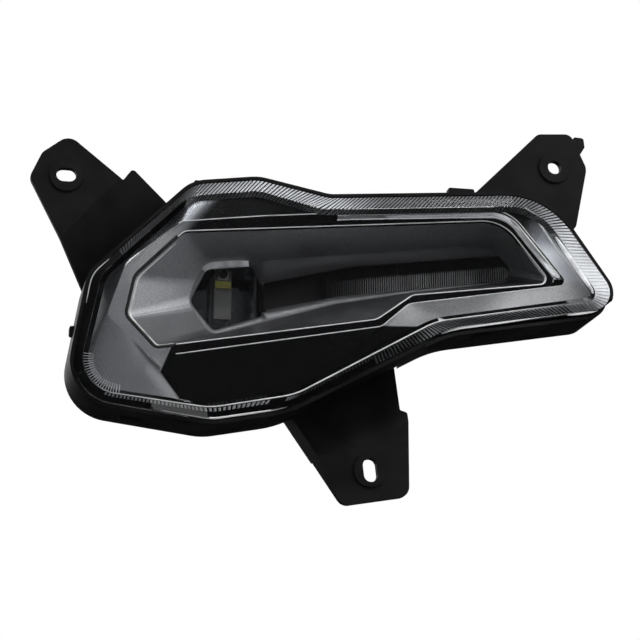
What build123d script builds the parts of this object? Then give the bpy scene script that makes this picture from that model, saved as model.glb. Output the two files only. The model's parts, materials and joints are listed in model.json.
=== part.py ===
from build123d import *
import os

# Auxiliary driving light for a car front. X runs to the right, Y to the back and Z up, in millimetres.
# The origin is the middle of the round fixing hole in the upper right ear.
# An outline lists its corners clockwise as seen from the front: x, z and corner radius.

# Clear lens
LENS_FACE_Y = -34.0
LENS_BEVEL_DEPTH = 5.0
LENS_SKIRT_DEPTH = 16.0
LENS_WALL = 2.5
LENS_RIM = [
    (-248.1, -82.0, 16.0), (-198.5, -32.4, 18.0), (-165.5, -27.8, 21.0), (-129.0, -34.8, 20.0),
    (-14.4, -25.2, 40.0), (25.8, -82.8, 10.0), (-66.6, -99.1, 60.0), (-150.6, -145.1, 55.0),
    (-188.0, -152.2, 31.0), (-258.4, -143.0, 21.0),
]
LENS_PLATEAU = [
    (-243.5, -83.0, 15.0), (-201.5, -40.5, 22.0), (-166.5, -35.5, 20.0), (-134.0, -43.0, 25.0),
    (-20.5, -33.5, 30.0), (12.5, -81.5, 5.0), (-75.5, -98.0, 40.0), (-147.5, -139.0, 40.0),
    (-189.5, -147.5, 38.0), (-255.0, -140.5, 18.0),
]

# Sealing channel and housing shell
CHANNEL_GAP = 0.6
CHANNEL_WALL = 1.6
CHANNEL_FLOOR = 3.0
SEALANT_THICKNESS = 1.5
LIP_SETBACK = 0.6
LOW_LIP_DROP = 9.9
LOW_LIP_ZONE = [
    (-78.0, -112.0, 0.0), (-78.0, -66.0, 0.0), (6.0, -66.0, 0.0), (28.0, -88.0, 0.0), (28.0, -112.0, 0.0),
]
SKIRT_DEPTH = 12.5
DEEP_SKIRT_DEPTH = 23.5
DEEP_SKIRT_ZONE = [(-84.0, -112.0, 0.0), (-84.0, -76.0, 0.0), (40.0, -76.0, 0.0), (40.0, -112.0, 0.0)]
BODY_WALL = 2.5
BODY_DRAFT = 3.0
BODY_DEPTH = 48.0
REAR_BEVEL = 7.0
REAR_WALL = 2.5

# Fixing ears
EAR_PLATE = 3.0
EAR_RIB_WIDTH = 2.8
EAR_RIB_DEPTH = 14.0
BOSS_DIAMETER = 17.0
BOSS_HEIGHT = 1.2
HOLE_DIAMETER = 7.4
SLOT_WIDTH = 7.2
LEFT_SLOT = (-260.0, -22.8)
LEFT_SLOT_LENGTH = 10.2
LOWER_SLOT = (-103.2, -169.2)
LOWER_SLOT_LENGTH = 12.0
LOWER_SLOT_TILT = 96.5
LOWER_EAR_FORWARD = 2.5
LEFT_EAR = [
    (-238.0, -102.0, 0.0), (-278.5, -25.0, 5.0), (-272.5, -11.3, 6.0), (-259.2, -1.0, 7.0),
    (-231.0, -23.2, 0.8), (-226.2, -16.6, 2.0), (-184.0, -49.4, 0.0),
]
LEFT_EAR_BEND = (-233.7, -23.6)
LEFT_EAR_ACROSS = (0.75, -0.66)
LEFT_EAR_LEAN = 0.35
RIGHT_EAR = [
    (-60.0, -33.0, 0.0), (-8.5, 18.6, 5.0), (10.0, 20.0, 5.0), (18.5, 1.0, 8.0),
    (11.5, -32.0, 4.0), (-8.0, -55.0, 0.0), (-45.0, -50.0, 0.0),
]
RIGHT_EAR_NUB = [
    (9.0, 11.0, 0.0), (12.0, 18.5, 1.0), (17.3, 18.2, 1.5), (17.8, 13.0, 1.0), (14.0, 7.0, 0.0),
]
LOWER_EAR = [
    (-117.5, -187.7, 5.0), (-151.5, -120.0, 0.0), (-86.3, -92.0, 0.0), (-86.3, -136.5, 1.0),
    (-82.8, -138.0, 1.5), (-82.8, -181.7, 6.0),
]
LOWER_EAR_RIB_DEPTH = 18.0
LOWER_EAR_RIB_TAPER = 28.0
LOWER_EAR_BEND = (-107.0, -153.6)
LOWER_EAR_ACROSS = (-0.40, 0.916)
LOWER_EAR_LEAN = 0.5

# Snap tabs round the flange: x and z of the middle, width and height
TAB_DEPTH = 4.0
TAB_CORNER = 1.0
SNAP_TABS = [
    (-190.5, -29.0, 11.0, 9.0), (-119.0, -31.5, 5.0, 8.0), (-55.0, -25.0, 14.0, 12.0),
    (-253.2, -107.0, 7.0, 5.0), (-45.0, -96.0, 11.0, 8.0), (-225.0, -146.5, 12.0, 8.0),
]

# Faceted frame behind the lens
BEZEL_GAP = 0.7
BEZEL_WALL = 2.0
BEZEL_EDGE_Y = -21.0
BEZEL_FACE_Y = -26.0
BEZEL_FOOT = 4.8
FRAME_EDGE = 0.7
FRAME_OUTLINE = [
    (-231.0, -74.0, 10.0), (-204.0, -51.5, 4.0), (-163.0, -46.0, 60.0), (-116.5, -41.0, 60.0),
    (-34.0, -34.0, 20.0), (-2.5, -72.5, 3.0), (-88.0, -87.5, 7.0), (-102.0, -100.0, 7.0),
    (-218.0, -122.0, 3.0), (-240.0, -101.5, 4.0),
]
STAKE_DIAMETER = 2.0
STAKE_HEAD_DIAMETER = 3.2
STAKE_HEAD_HEIGHT = 1.0
STAKE_PLACES = [(-232.5, -92.0), (-226.0, -110.0), (-17.2, -59.8), (-27.8, -46.8)]

# Bright ridge on the frame, kept to the top right
ACCENT_INSET = 0.8
ACCENT_WIDTH = 3.4
ACCENT_HEIGHT = 2.4
ACCENT_CREST = 0.4
ACCENT_ZONE = [(-125.0, -70.5, 0.0), (-125.0, -20.0, 0.0), (12.0, -20.0, 0.0), (12.0, -70.5, 0.0)]

# Funnel behind the frame, with its floor
POCKET_GAP = 0.4
POCKET_WALL = 1.6
POCKET_FLANGE = 1.5
POCKET_EAR_DIAMETER = 5.6
POCKET_FLOOR_Y = 0.0
POCKET_EDGE = [
    (-202.5, -57.0, 6.0), (-38.0, -40.5, 20.0), (-12.8, -72.0, 3.0), (-86.0, -82.3, 8.0),
    (-104.5, -96.0, 8.0), (-215.5, -116.0, 3.0), (-230.0, -101.0, 5.0), (-226.0, -81.0, 10.0),
]
POCKET_FLOOR = [
    (-189.0, -63.5, 5.0), (-37.0, -45.5, 8.0), (-20.0, -64.0, 3.0), (-80.0, -74.0, 8.0),
    (-120.5, -82.5, 8.0), (-187.5, -104.0, 3.0), (-199.0, -86.5, 5.0), (-195.5, -75.0, 8.0),
]
WINDOW = [
    (-195.5, -85.5, 4.0), (-187.2, -68.0, 4.0), (-163.8, -65.0, 2.0), (-159.4, -73.5, 1.0),
    (-158.6, -91.0, 2.0), (-183.5, -100.0, 3.0),
]
STRIP_SLOT = [
    (-157.5, -88.0, 1.0), (-157.5, -73.4, 1.0), (-112.0, -61.8, 30.0), (-32.0, -50.8, 2.0),
    (-24.0, -59.2, 1.5), (-29.0, -64.4, 1.5), (-119.0, -78.4, 30.0),
]

# Ribbed light bar in its trough
TROUGH_GAP = 0.4
TROUGH_WALL = 1.6
TROUGH_DEPTH = 10.0
TROUGH_CLEARANCE = 0.2
STRIP_END_X = -124.0
STRIP_GAP = 0.3
STRIP_THICKNESS = 4.6
RIB_PITCH = 1.25
RIB_DEPTH = 0.55
BOARD_THICKNESS = 1.6
STRIP_LED_SIZE = 3.0
STRIP_LED_HEIGHT = 0.8
STRIP_LED_COUNT = 8
STRIP_LED_FIRST = (-116.0, -70.2)
STRIP_LED_LAST = (-37.0, -58.2)
STRIP_POST_X = [-135.0, -85.0, -42.0]
STRIP_POST_RISE = 4.8
STRIP_POST_DIAMETER = 5.0
STRIP_POST_LENGTH = 5.4
STRIP_EAR_DIAMETER = 6.0
STRIP_EAR_THICKNESS = 2.0

# Mirror bowl and the light source in front of it
BOWL = [
    (-199.5, -85.5, 6.0), (-190.0, -64.5, 4.0), (-162.5, -61.5, 3.0), (-162.5, -100.5, 5.0),
    (-187.0, -103.0, 6.0),
]
BOWL_GAP = 0.3
BOWL_DEPTH = 19.0
BOWL_TAPER = 2.0
BOWL_WALL = 1.5
LED_X = -177.5
LED_BOARD_TOP = -65.6
LED_BOARD_WIDTH = 9.0
LED_BOARD_HEIGHT = 26.0
LED_BOARD_Y = 8.0
LED_CHIP_WIDTH = 8.0
LED_CHIP_HEIGHT = 3.6
LED_CHIP_DEPTH = 1.0
LED_CHIP_DROP = 8.0
LED_TAB_WIDTH = 5.4
LED_TAB_HEIGHT = 5.4
LED_TAB_THICKNESS = 1.0
STEM_MARGIN = 0.4
STEM_CLEARANCE = 0.6

# Heat sink on the rear wall
SINK_Z = -82.0
SINK_WIDTH = 66.0
SINK_HEIGHT = 54.0
SINK_CORNER = 4.0
SINK_BASE = 4.0
SINK_GASKET = 1.0
SINK_SCREW_INSET = 5.0
PLATFORM_WIDTH = 30.0
PLATFORM_HEIGHT = 36.0
PLATFORM_CLEARANCE = 1.0
FIN_COUNT = 9
FIN_THICKNESS = 2.0
FIN_HEIGHT = 14.0
BOWL_SCREW_X = 9.5

# Driver board on posts of the rear wall
DRIVER_X = -106.0
DRIVER_Z = -74.0
DRIVER_WIDTH = 54.0
DRIVER_HEIGHT = 36.0
DRIVER_STANDOFF = 8.0
DRIVER_SCREW_INSET = 4.0
DRIVER_POST_DIAMETER = 6.0
COIL_DIAMETER = 11.0
COIL_HEIGHT = 6.0
CHIP_SIZE = 7.0
CHIP_HEIGHT = 1.4
CAPACITOR_DIAMETER = 6.5
PART_CLEARANCE = 1.0
PART_SPACING = 14.0

# Plug socket on the rear wall
SOCKET_WIDTH = 26.0
SOCKET_HEIGHT = 17.0
SOCKET_CORNER = 3.0
SOCKET_WALL = 2.0
SOCKET_DEPTH = 18.0
SOCKET_FLOOR = 3.0
SOCKET_FLANGE_WIDTH = 42.0
SOCKET_FLANGE_HEIGHT = 22.0
SOCKET_FLANGE = 2.5
SOCKET_GASKET = 1.0
SOCKET_SCREW_X = 17.0
PIN_SIZE = 1.5
PIN_PITCH = 4.5
PIN_COUNT = 4
PIN_REACH = 12.0
PIN_PASSAGE = 1.5

# Breather on the rear wall
VENT_X = -52.0
VENT_Z = -63.0
VENT_HOLE = 6.0
VENT_FILM_DIAMETER = 10.0
VENT_FILM = 0.4
VENT_CAP_DIAMETER = 15.0
VENT_CAP_WALL = 1.5
VENT_CAP_HEIGHT = 7.0
VENT_NOTCH = 3.0

# Self-tapping screws
SCREW_DIAMETER = 2.2
SCREW_HEAD_DIAMETER = 4.2
SCREW_HEAD_HEIGHT = 1.6
SCREW_LENGTH = 6.0
SCREW_CLEARANCE = 0.2
SCREW_TIP_CLEARANCE = 0.5
SCREW_BOSS = 6.5
SMALL_SCREW_LENGTH = 4.5

SMALL_CORNER = 0.5

# Depth stations that follow from the sizes above
LENS_RIM_Y = LENS_FACE_Y + LENS_BEVEL_DEPTH
LENS_FOOT_Y = LENS_RIM_Y + LENS_SKIRT_DEPTH
CHANNEL_FLOOR_Y = LENS_FOOT_Y + SEALANT_THICKNESS
FLANGE_BACK_Y = CHANNEL_FLOOR_Y + CHANNEL_FLOOR
LIP_Y = LENS_RIM_Y + LIP_SETBACK
REAR_Y = CHANNEL_FLOOR_Y + BODY_DEPTH
REAR_INSIDE_Y = REAR_Y - REAR_WALL
BEZEL_SEAT_Y = BEZEL_EDGE_Y + BEZEL_WALL
BEZEL_BACK_Y = BEZEL_FACE_Y + BEZEL_WALL
POCKET_FLANGE_Y = BEZEL_BACK_Y + POCKET_WALL
POCKET_BACK_Y = POCKET_FLOOR_Y + POCKET_WALL
TROUGH_Y = POCKET_BACK_Y + TROUGH_CLEARANCE
TROUGH_FLOOR_Y = TROUGH_Y + TROUGH_DEPTH
STRIP_BOARD_Y = TROUGH_FLOOR_Y - BOARD_THICKNESS
STRIP_BACK_Y = STRIP_BOARD_Y - STRIP_LED_HEIGHT
STRIP_EAR_Y = POCKET_BACK_Y + STRIP_POST_LENGTH
BOWL_Y = POCKET_BACK_Y + BOWL_GAP
BOWL_FLOOR_Y = BOWL_Y + BOWL_DEPTH
PLATFORM_Y = BOWL_FLOOR_Y + BOWL_WALL
STEM_Y = LED_BOARD_Y + BOARD_THICKNESS
SINK_BASE_Y = REAR_Y + SINK_GASKET
FIN_Y = SINK_BASE_Y + SINK_BASE
DRIVER_BACK_Y = REAR_INSIDE_Y - DRIVER_STANDOFF
DRIVER_Y = DRIVER_BACK_Y - BOARD_THICKNESS
SOCKET_Y = REAR_Y + SOCKET_GASKET
SOCKET_FLOOR_Y = SOCKET_Y + SOCKET_FLOOR
CHANNEL_INSET = LENS_WALL + CHANNEL_GAP
FLANGE_OUTSET = CHANNEL_GAP + CHANNEL_WALL


def offset_outline(outline, distance):
    """The outline moved outwards by distance, or inwards where it is negative."""
    moved = []
    for index, (x, z, radius) in enumerate(outline):
        before = Vector(*outline[index - 1][:2])
        after = Vector(*outline[(index + 1) % len(outline)][:2])
        corner = Vector(x, z)
        way_in = (corner - before).normalized()
        way_out = (after - corner).normalized()
        normals = Vector(-way_in.Y - way_out.Y, way_in.X + way_out.X)
        place = corner + normals * (distance / (1 + way_in.dot(way_out)))
        convex = way_in.X * way_out.Y - way_in.Y * way_out.X < 0
        new_radius = radius + distance if convex else radius - distance
        moved.append((place.X, place.Y, max(new_radius, SMALL_CORNER)))
    return moved


def face_at(outline, y):
    corners = [(x, y, z) for x, z, _ in outline]
    radii = [radius for _, _, radius in outline]
    return Face(FilletPolyline(*corners, radius=radii, close=True))


def prism(outline, y_front, y_back):
    return extrude(face_at(outline, y_front), amount=y_back - y_front, dir=(0, 1, 0))


def tapered(front_outline, y_front, back_outline, y_back):
    return loft([face_at(front_outline, y_front), face_at(back_outline, y_back)], ruled=True)


def rectangle(x, z, width, height, radius=0.0):
    left, right = x - width / 2, x + width / 2
    low, high = z - height / 2, z + height / 2
    return [(left, low, radius), (left, high, radius), (right, high, radius), (right, low, radius)]


def rod(x, z, diameter, y_front, y_back):
    along_y = Plane(origin=(x, y_front, z), x_dir=(1, 0, 0), z_dir=(0, 1, 0))
    return extrude(along_y * Circle(diameter / 2), amount=y_back - y_front)


def slot(place, width, length, tilt, y_front, y_back):
    long_way = Vector(1, 0, 0).rotate(Axis.Y, -tilt)
    plane = Plane(origin=(place[0], y_back, place[1]), x_dir=long_way, z_dir=(0, -1, 0))
    return extrude(plane * SlotOverall(length, width), amount=y_back - y_front)


def screw(x, z, seat_y, length, way):
    """A screw with its head's underside at seat_y. Way is 1 where it runs to the back, otherwise -1."""
    ends = sorted([seat_y, seat_y + way * length])
    head_ends = sorted([seat_y, seat_y - way * SCREW_HEAD_HEIGHT])
    shank = rod(x, z, SCREW_DIAMETER, *ends)
    return shank + rod(x, z, SCREW_HEAD_DIAMETER, *head_ends)


def screw_hole(x, z, y_front, y_back):
    return rod(x, z, SCREW_DIAMETER + SCREW_CLEARANCE, y_front, y_back)


def edge_height(outline, x):
    """Height of the outline's upper edge at x."""
    for index, (x0, z0, _) in enumerate(outline):
        x1, z1, _ = outline[(index + 1) % len(outline)]
        if x0 <= x < x1:
            return z0 + (z1 - z0) * (x - x0) / (x1 - x0)
    raise ValueError("x lies beside the outline")


def group(solids):
    return Compound(children=[solid for piece in solids for solid in piece.solids()])


# Lens and sealant


def outer_lens():
    rim_inside = offset_outline(LENS_RIM, -LENS_WALL)
    plateau_inside = offset_outline(LENS_PLATEAU, -LENS_WALL)
    face_inside_y = LENS_FACE_Y + LENS_WALL
    rim_inside_y = LENS_RIM_Y + LENS_WALL / 2
    outside = tapered(LENS_PLATEAU, LENS_FACE_Y, LENS_RIM, LENS_RIM_Y)
    outside += prism(LENS_RIM, LENS_RIM_Y, LENS_FOOT_Y)
    inside = tapered(plateau_inside, face_inside_y, rim_inside, rim_inside_y)
    inside += prism(rim_inside, rim_inside_y, LENS_FOOT_Y)
    return outside - inside


def lens_sealant():
    outside = prism(offset_outline(LENS_RIM, CHANNEL_GAP), LENS_FOOT_Y, CHANNEL_FLOOR_Y)
    return outside - prism(offset_outline(LENS_RIM, -CHANNEL_INSET), LENS_FOOT_Y, CHANNEL_FLOOR_Y)


# Housing


def bent_sheet(bend, across, lean, y_front, thickness, reach):
    """A flat sheet that leans to the back past a bend line. The way across that line is given."""
    along = Vector(across[1], 0, -across[0]).normalized()
    way = Vector(across[0], 0, across[1]).normalized()
    start = Vector(bend[0], 0, bend[1]) - along * reach
    rise = y_front + lean * reach
    stations = [
        (-reach, y_front), (0, y_front), (reach, rise),
        (reach, rise + thickness), (0, y_front + thickness), (-reach, y_front + thickness),
    ]
    corners = [start + way * u + Vector(0, y, 0) for u, y in stations]
    return extrude(Face(Wire.make_polygon(corners)), amount=2 * reach, dir=along)


def ear(outline, bend, across, lean, y_front, rib_depth):
    widest = max(x for x, _, _ in outline) - min(x for x, _, _ in outline)
    highest = max(z for _, z, _ in outline) - min(z for _, z, _ in outline)
    reach = widest + highest
    block = prism(outline, y_front - reach, REAR_Y - REAR_BEVEL)
    plate = block & bent_sheet(bend, across, lean, y_front, EAR_PLATE, reach)
    edge_strip = block - Pos(EAR_RIB_WIDTH, 0, 0) * block
    return plate + (edge_strip & bent_sheet(bend, across, lean, y_front, rib_depth, reach))


def rib_taper(y_front):
    """What is cut off the lower ear's rib so that it runs out at the bottom end."""
    left, right = (limit(x for x, _, _ in LOWER_EAR) for limit in (min, max))
    bottom = min(z for _, z, _ in LOWER_EAR)
    plate_y = y_front + EAR_PLATE
    rib_y = y_front + LOWER_EAR_RIB_DEPTH
    corners = [(plate_y, bottom), (rib_y, bottom + LOWER_EAR_RIB_TAPER), (rib_y, bottom)]
    section = Face(Wire.make_polygon([(left, y, z) for y, z in corners]))
    return extrude(section, amount=right - left, dir=(1, 0, 0))


def ears():
    front = -EAR_PLATE / 2
    lower_front = front - LOWER_EAR_FORWARD
    left = ear(LEFT_EAR, LEFT_EAR_BEND, LEFT_EAR_ACROSS, LEFT_EAR_LEAN, front, EAR_PLATE)
    right = ear(RIGHT_EAR, (0, 0), (1, 0), 0, front, EAR_RIB_DEPTH)
    right += prism(RIGHT_EAR_NUB, front, front + EAR_PLATE)
    lower = ear(LOWER_EAR, LOWER_EAR_BEND, LOWER_EAR_ACROSS, LOWER_EAR_LEAN, lower_front, LOWER_EAR_RIB_DEPTH)
    lower -= rib_taper(lower_front)
    left += rod(*LEFT_SLOT, BOSS_DIAMETER, front - BOSS_HEIGHT, front)
    right += rod(0, 0, BOSS_DIAMETER, front - BOSS_HEIGHT, front)
    lower += rod(*LOWER_SLOT, BOSS_DIAMETER, lower_front - BOSS_HEIGHT, lower_front)
    depth = BOSS_HEIGHT + EAR_PLATE
    left -= slot(LEFT_SLOT, SLOT_WIDTH, LEFT_SLOT_LENGTH, 0, front - depth, front + depth)
    right -= rod(0, 0, HOLE_DIAMETER, front - depth, front + depth)
    lower -= slot(LOWER_SLOT, SLOT_WIDTH, LOWER_SLOT_LENGTH, LOWER_SLOT_TILT,
                  lower_front - depth, lower_front + depth)
    return left + right + lower


def shell(inset, y_front, y_bevel, y_back):
    """The body's form at an inset from the lens rim: a drafted wall, then the bevel to the rear."""
    front = offset_outline(LENS_RIM, -inset)
    middle = offset_outline(LENS_RIM, -inset - BODY_DRAFT)
    back = offset_outline(LENS_RIM, -inset - BODY_DRAFT - REAR_BEVEL)
    return tapered(front, y_front, middle, y_bevel) + tapered(middle, y_bevel, back, y_back)


def fin_pitch():
    return (SINK_WIDTH - FIN_THICKNESS) / (FIN_COUNT - 1)


def sink_screw_places():
    half_x = (SINK_WIDTH - FIN_THICKNESS - fin_pitch()) / 2
    half_z = SINK_HEIGHT / 2 - SINK_SCREW_INSET
    return [(LED_X + sx * half_x, SINK_Z + sz * half_z) for sx in (-1, 1) for sz in (-1, 1)]


def driver_screw_places():
    half_x = DRIVER_WIDTH / 2 - DRIVER_SCREW_INSET
    half_z = DRIVER_HEIGHT / 2 - DRIVER_SCREW_INSET
    return [(DRIVER_X + sx * half_x, DRIVER_Z + sz * half_z) for sx in (-1, 1) for sz in (-1, 1)]


def socket_screw_places():
    return [(DRIVER_X + side * SOCKET_SCREW_X, DRIVER_Z) for side in (-1, 1)]


def pin_places():
    first = DRIVER_X - PIN_PITCH * (PIN_COUNT - 1) / 2
    return [(first + PIN_PITCH * index, DRIVER_Z) for index in range(PIN_COUNT)]


def pin_passage():
    width = PIN_PITCH * (PIN_COUNT - 1) + PIN_SIZE + 2 * PIN_PASSAGE
    return rectangle(DRIVER_X, DRIVER_Z, width, PIN_SIZE + 2 * PIN_PASSAGE)


def platform_outline(clearance):
    width = PLATFORM_WIDTH + 2 * clearance
    height = PLATFORM_HEIGHT + 2 * clearance
    return rectangle(LED_X, SINK_Z, width, height, SINK_CORNER)


def skirt(zone, depth):
    """The flange's outer wall carried on to the back, all round or inside a zone."""
    back_y = FLANGE_BACK_Y + depth
    ring = prism(offset_outline(LENS_RIM, FLANGE_OUTSET), FLANGE_BACK_Y, back_y)
    ring -= prism(offset_outline(LENS_RIM, CHANNEL_GAP), FLANGE_BACK_Y, back_y)
    if zone:
        ring &= prism(zone, FLANGE_BACK_Y, back_y)
    return ring


def rear_housing():
    bevel_y = REAR_Y - REAR_BEVEL
    housing = prism(offset_outline(LENS_RIM, FLANGE_OUTSET), LIP_Y, FLANGE_BACK_Y)
    housing += shell(CHANNEL_INSET, CHANNEL_FLOOR_Y, bevel_y, REAR_Y)
    housing += ears()
    for zone, depth in ((None, SKIRT_DEPTH), (DEEP_SKIRT_ZONE, DEEP_SKIRT_DEPTH)):
        housing += skirt(zone, depth)
    for x, z, width, height in SNAP_TABS:
        tab = rectangle(x, z, width, height, TAB_CORNER)
        housing += prism(tab, FLANGE_BACK_Y - TAB_DEPTH, FLANGE_BACK_Y)
    channel = prism(offset_outline(LENS_RIM, CHANNEL_GAP), LIP_Y, CHANNEL_FLOOR_Y)
    inner_wall = prism(offset_outline(LENS_RIM, -CHANNEL_INSET), BEZEL_SEAT_Y, CHANNEL_FLOOR_Y)
    housing -= channel - inner_wall
    low_lip = prism(offset_outline(LENS_RIM, FLANGE_OUTSET), LIP_Y, LIP_Y + LOW_LIP_DROP)
    housing -= low_lip & prism(LOW_LIP_ZONE, LIP_Y, LIP_Y + LOW_LIP_DROP)
    inset = CHANNEL_INSET + BODY_WALL
    housing -= prism(offset_outline(LENS_RIM, -inset), LIP_Y, CHANNEL_FLOOR_Y)
    housing -= shell(inset, CHANNEL_FLOOR_Y, bevel_y - REAR_WALL, REAR_INSIDE_Y)
    boss_y = REAR_Y - SCREW_LENGTH - REAR_WALL
    for x, z in sink_screw_places() + socket_screw_places():
        housing += rod(x, z, SCREW_BOSS, boss_y, REAR_INSIDE_Y)
    for x, z in driver_screw_places():
        housing += rod(x, z, DRIVER_POST_DIAMETER, DRIVER_BACK_Y, REAR_INSIDE_Y)
    for x, z in sink_screw_places() + socket_screw_places():
        housing -= screw_hole(x, z, REAR_Y - SCREW_LENGTH, REAR_Y)
    for x, z in driver_screw_places():
        housing -= screw_hole(x, z, DRIVER_BACK_Y, DRIVER_BACK_Y + SCREW_LENGTH)
    housing -= prism(platform_outline(PLATFORM_CLEARANCE), REAR_INSIDE_Y, REAR_Y)
    housing -= prism(pin_passage(), REAR_INSIDE_Y, REAR_Y)
    return housing - rod(VENT_X, VENT_Z, VENT_HOLE, REAR_INSIDE_Y, REAR_Y)


# Frame, ridge and funnel


def front_bezel():
    edge = offset_outline(LENS_RIM, -LENS_WALL - BEZEL_GAP)
    bezel = tapered(edge, BEZEL_EDGE_Y, FRAME_OUTLINE, BEZEL_FACE_Y)
    bezel -= tapered(edge, BEZEL_SEAT_Y, FRAME_OUTLINE, BEZEL_BACK_Y)
    foot = prism(edge, BEZEL_EDGE_Y, BEZEL_SEAT_Y)
    bezel += foot - prism(offset_outline(edge, -BEZEL_FOOT), BEZEL_EDGE_Y, BEZEL_SEAT_Y)
    bezel -= prism(POCKET_EDGE, BEZEL_FACE_Y, BEZEL_BACK_Y)
    chamfer = offset_outline(POCKET_EDGE, FRAME_EDGE)
    bezel -= tapered(chamfer, BEZEL_FACE_Y, POCKET_EDGE, BEZEL_FACE_Y + FRAME_EDGE)
    for x, z in STAKE_PLACES:
        bezel += rod(x, z, STAKE_DIAMETER, BEZEL_BACK_Y, POCKET_FLANGE_Y)
        bezel += rod(x, z, STAKE_HEAD_DIAMETER, POCKET_FLANGE_Y, POCKET_FLANGE_Y + STAKE_HEAD_HEIGHT)
    return bezel


def accent_strip():
    crest = (ACCENT_WIDTH - ACCENT_CREST) / 2
    crest_y = BEZEL_FACE_Y - ACCENT_HEIGHT
    widths = [0, crest, ACCENT_WIDTH - crest, ACCENT_WIDTH]
    rings = [offset_outline(FRAME_OUTLINE, -ACCENT_INSET - width) for width in widths]
    outer, outer_crest, inner_crest, inner = rings
    ring = tapered(outer_crest, crest_y, outer, BEZEL_FACE_Y)
    ring -= tapered(inner_crest, crest_y, inner, BEZEL_FACE_Y)
    return ring & prism(ACCENT_ZONE, crest_y, BEZEL_FACE_Y)


def strip_post_places():
    return [(x, edge_height(STRIP_SLOT, x) + STRIP_POST_RISE) for x in STRIP_POST_X]


def pocket_reflector():
    mouth = offset_outline(POCKET_EDGE, POCKET_GAP)
    outside = tapered(offset_outline(mouth, POCKET_WALL), BEZEL_BACK_Y,
                      offset_outline(POCKET_FLOOR, POCKET_WALL), POCKET_FLOOR_Y)
    outside += prism(offset_outline(POCKET_FLOOR, POCKET_WALL), POCKET_FLOOR_Y, POCKET_BACK_Y)
    outside += prism(offset_outline(mouth, POCKET_FLANGE), BEZEL_BACK_Y, POCKET_FLANGE_Y)
    for x, z in STAKE_PLACES:
        outside += rod(x, z, POCKET_EAR_DIAMETER, BEZEL_BACK_Y, POCKET_FLANGE_Y)
    for x, z in strip_post_places():
        outside += rod(x, z, STRIP_POST_DIAMETER, POCKET_BACK_Y, STRIP_EAR_Y)
    pocket = outside - tapered(mouth, BEZEL_BACK_Y, POCKET_FLOOR, POCKET_FLOOR_Y)
    for x, z in STAKE_PLACES:
        pocket -= rod(x, z, STAKE_DIAMETER + SCREW_CLEARANCE, BEZEL_BACK_Y, POCKET_FLANGE_Y)
    for x, z in strip_post_places():
        pocket -= screw_hole(x, z, STRIP_EAR_Y - SMALL_SCREW_LENGTH, STRIP_EAR_Y)
    low, high = STRIP_SLOT[0][1], STRIP_SLOT[1][1]
    passage = rectangle(STRIP_SLOT[0][0], (low + high) / 2, 2 * BOWL_WALL + 2 * TROUGH_WALL, high - low)
    for opening in (WINDOW, STRIP_SLOT, passage):
        pocket -= prism(opening, POCKET_FLOOR_Y, POCKET_BACK_Y)
    return pocket


# Ribbed light bar


def strip_holder():
    cavity = offset_outline(STRIP_SLOT, TROUGH_GAP)
    holder = prism(offset_outline(cavity, TROUGH_WALL), TROUGH_Y, TROUGH_FLOOR_Y + TROUGH_WALL)
    ear_back_y = STRIP_EAR_Y + STRIP_EAR_THICKNESS
    for x, z in strip_post_places():
        holder += rod(x, z, STRIP_EAR_DIAMETER, STRIP_EAR_Y, ear_back_y)
        web = rectangle(x, z - STRIP_POST_RISE / 2, STRIP_EAR_DIAMETER, STRIP_POST_RISE)
        holder += prism(web, STRIP_EAR_Y, ear_back_y)
        holder -= screw_hole(x, z, STRIP_EAR_Y, ear_back_y)
    return holder - prism(cavity, TROUGH_Y, TROUGH_FLOOR_Y)


def strip_outline_part(y_front, y_back):
    """The right-hand length of the slot that the light bar and its board fill."""
    fill = prism(offset_outline(STRIP_SLOT, TROUGH_GAP - STRIP_GAP), y_front, y_back)
    right_x = max(x for x, _, _ in STRIP_SLOT) + TROUGH_GAP
    low = min(z for _, z, _ in STRIP_SLOT)
    high = max(z for _, z, _ in STRIP_SLOT) + TROUGH_GAP
    zone = rectangle((STRIP_END_X + right_x) / 2, (low + high) / 2, right_x - STRIP_END_X, high - low)
    return fill & prism(zone, y_front, y_back)


def strip_lens():
    front_y = STRIP_BACK_Y - STRIP_THICKNESS
    low = min(z for _, z, _ in STRIP_SLOT)
    high = max(z for _, z, _ in STRIP_SLOT)
    length = max(x for x, _, _ in STRIP_SLOT) - STRIP_END_X
    count = int(length / RIB_PITCH) + 2
    points = [(STRIP_END_X, STRIP_BACK_Y)]
    for index in range(count):
        x = STRIP_END_X + index * RIB_PITCH
        points += [(x, front_y + RIB_DEPTH), (x + RIB_PITCH / 2, front_y)]
    points.append((STRIP_END_X + count * RIB_PITCH, STRIP_BACK_Y))
    section = Face(Wire.make_polygon([(x, y, low) for x, y in points]))
    ribbed = extrude(section, amount=high - low, dir=(0, 0, 1))
    return ribbed & strip_outline_part(front_y, STRIP_BACK_Y)


def strip_led_places():
    steps = [index / (STRIP_LED_COUNT - 1) for index in range(STRIP_LED_COUNT)]
    (x0, z0), (x1, z1) = STRIP_LED_FIRST, STRIP_LED_LAST
    return [(x0 + (x1 - x0) * step, z0 + (z1 - z0) * step) for step in steps]


def strip_leds():
    outlines = [rectangle(x, z, STRIP_LED_SIZE, STRIP_LED_SIZE) for x, z in strip_led_places()]
    return group([prism(outline, STRIP_BACK_Y, STRIP_BOARD_Y) for outline in outlines])


def strip_holder_screws():
    seat_y = STRIP_EAR_Y + STRIP_EAR_THICKNESS
    length = STRIP_EAR_THICKNESS + SMALL_SCREW_LENGTH - SCREW_TIP_CLEARANCE
    return group([screw(x, z, seat_y, length, -1) for x, z in strip_post_places()])


# Light source and mirror bowl


def led_board_outline():
    return rectangle(LED_X, LED_BOARD_TOP - LED_BOARD_HEIGHT / 2, LED_BOARD_WIDTH, LED_BOARD_HEIGHT)


def led_screw_z():
    return LED_BOARD_TOP - LED_TAB_HEIGHT / 2


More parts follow.
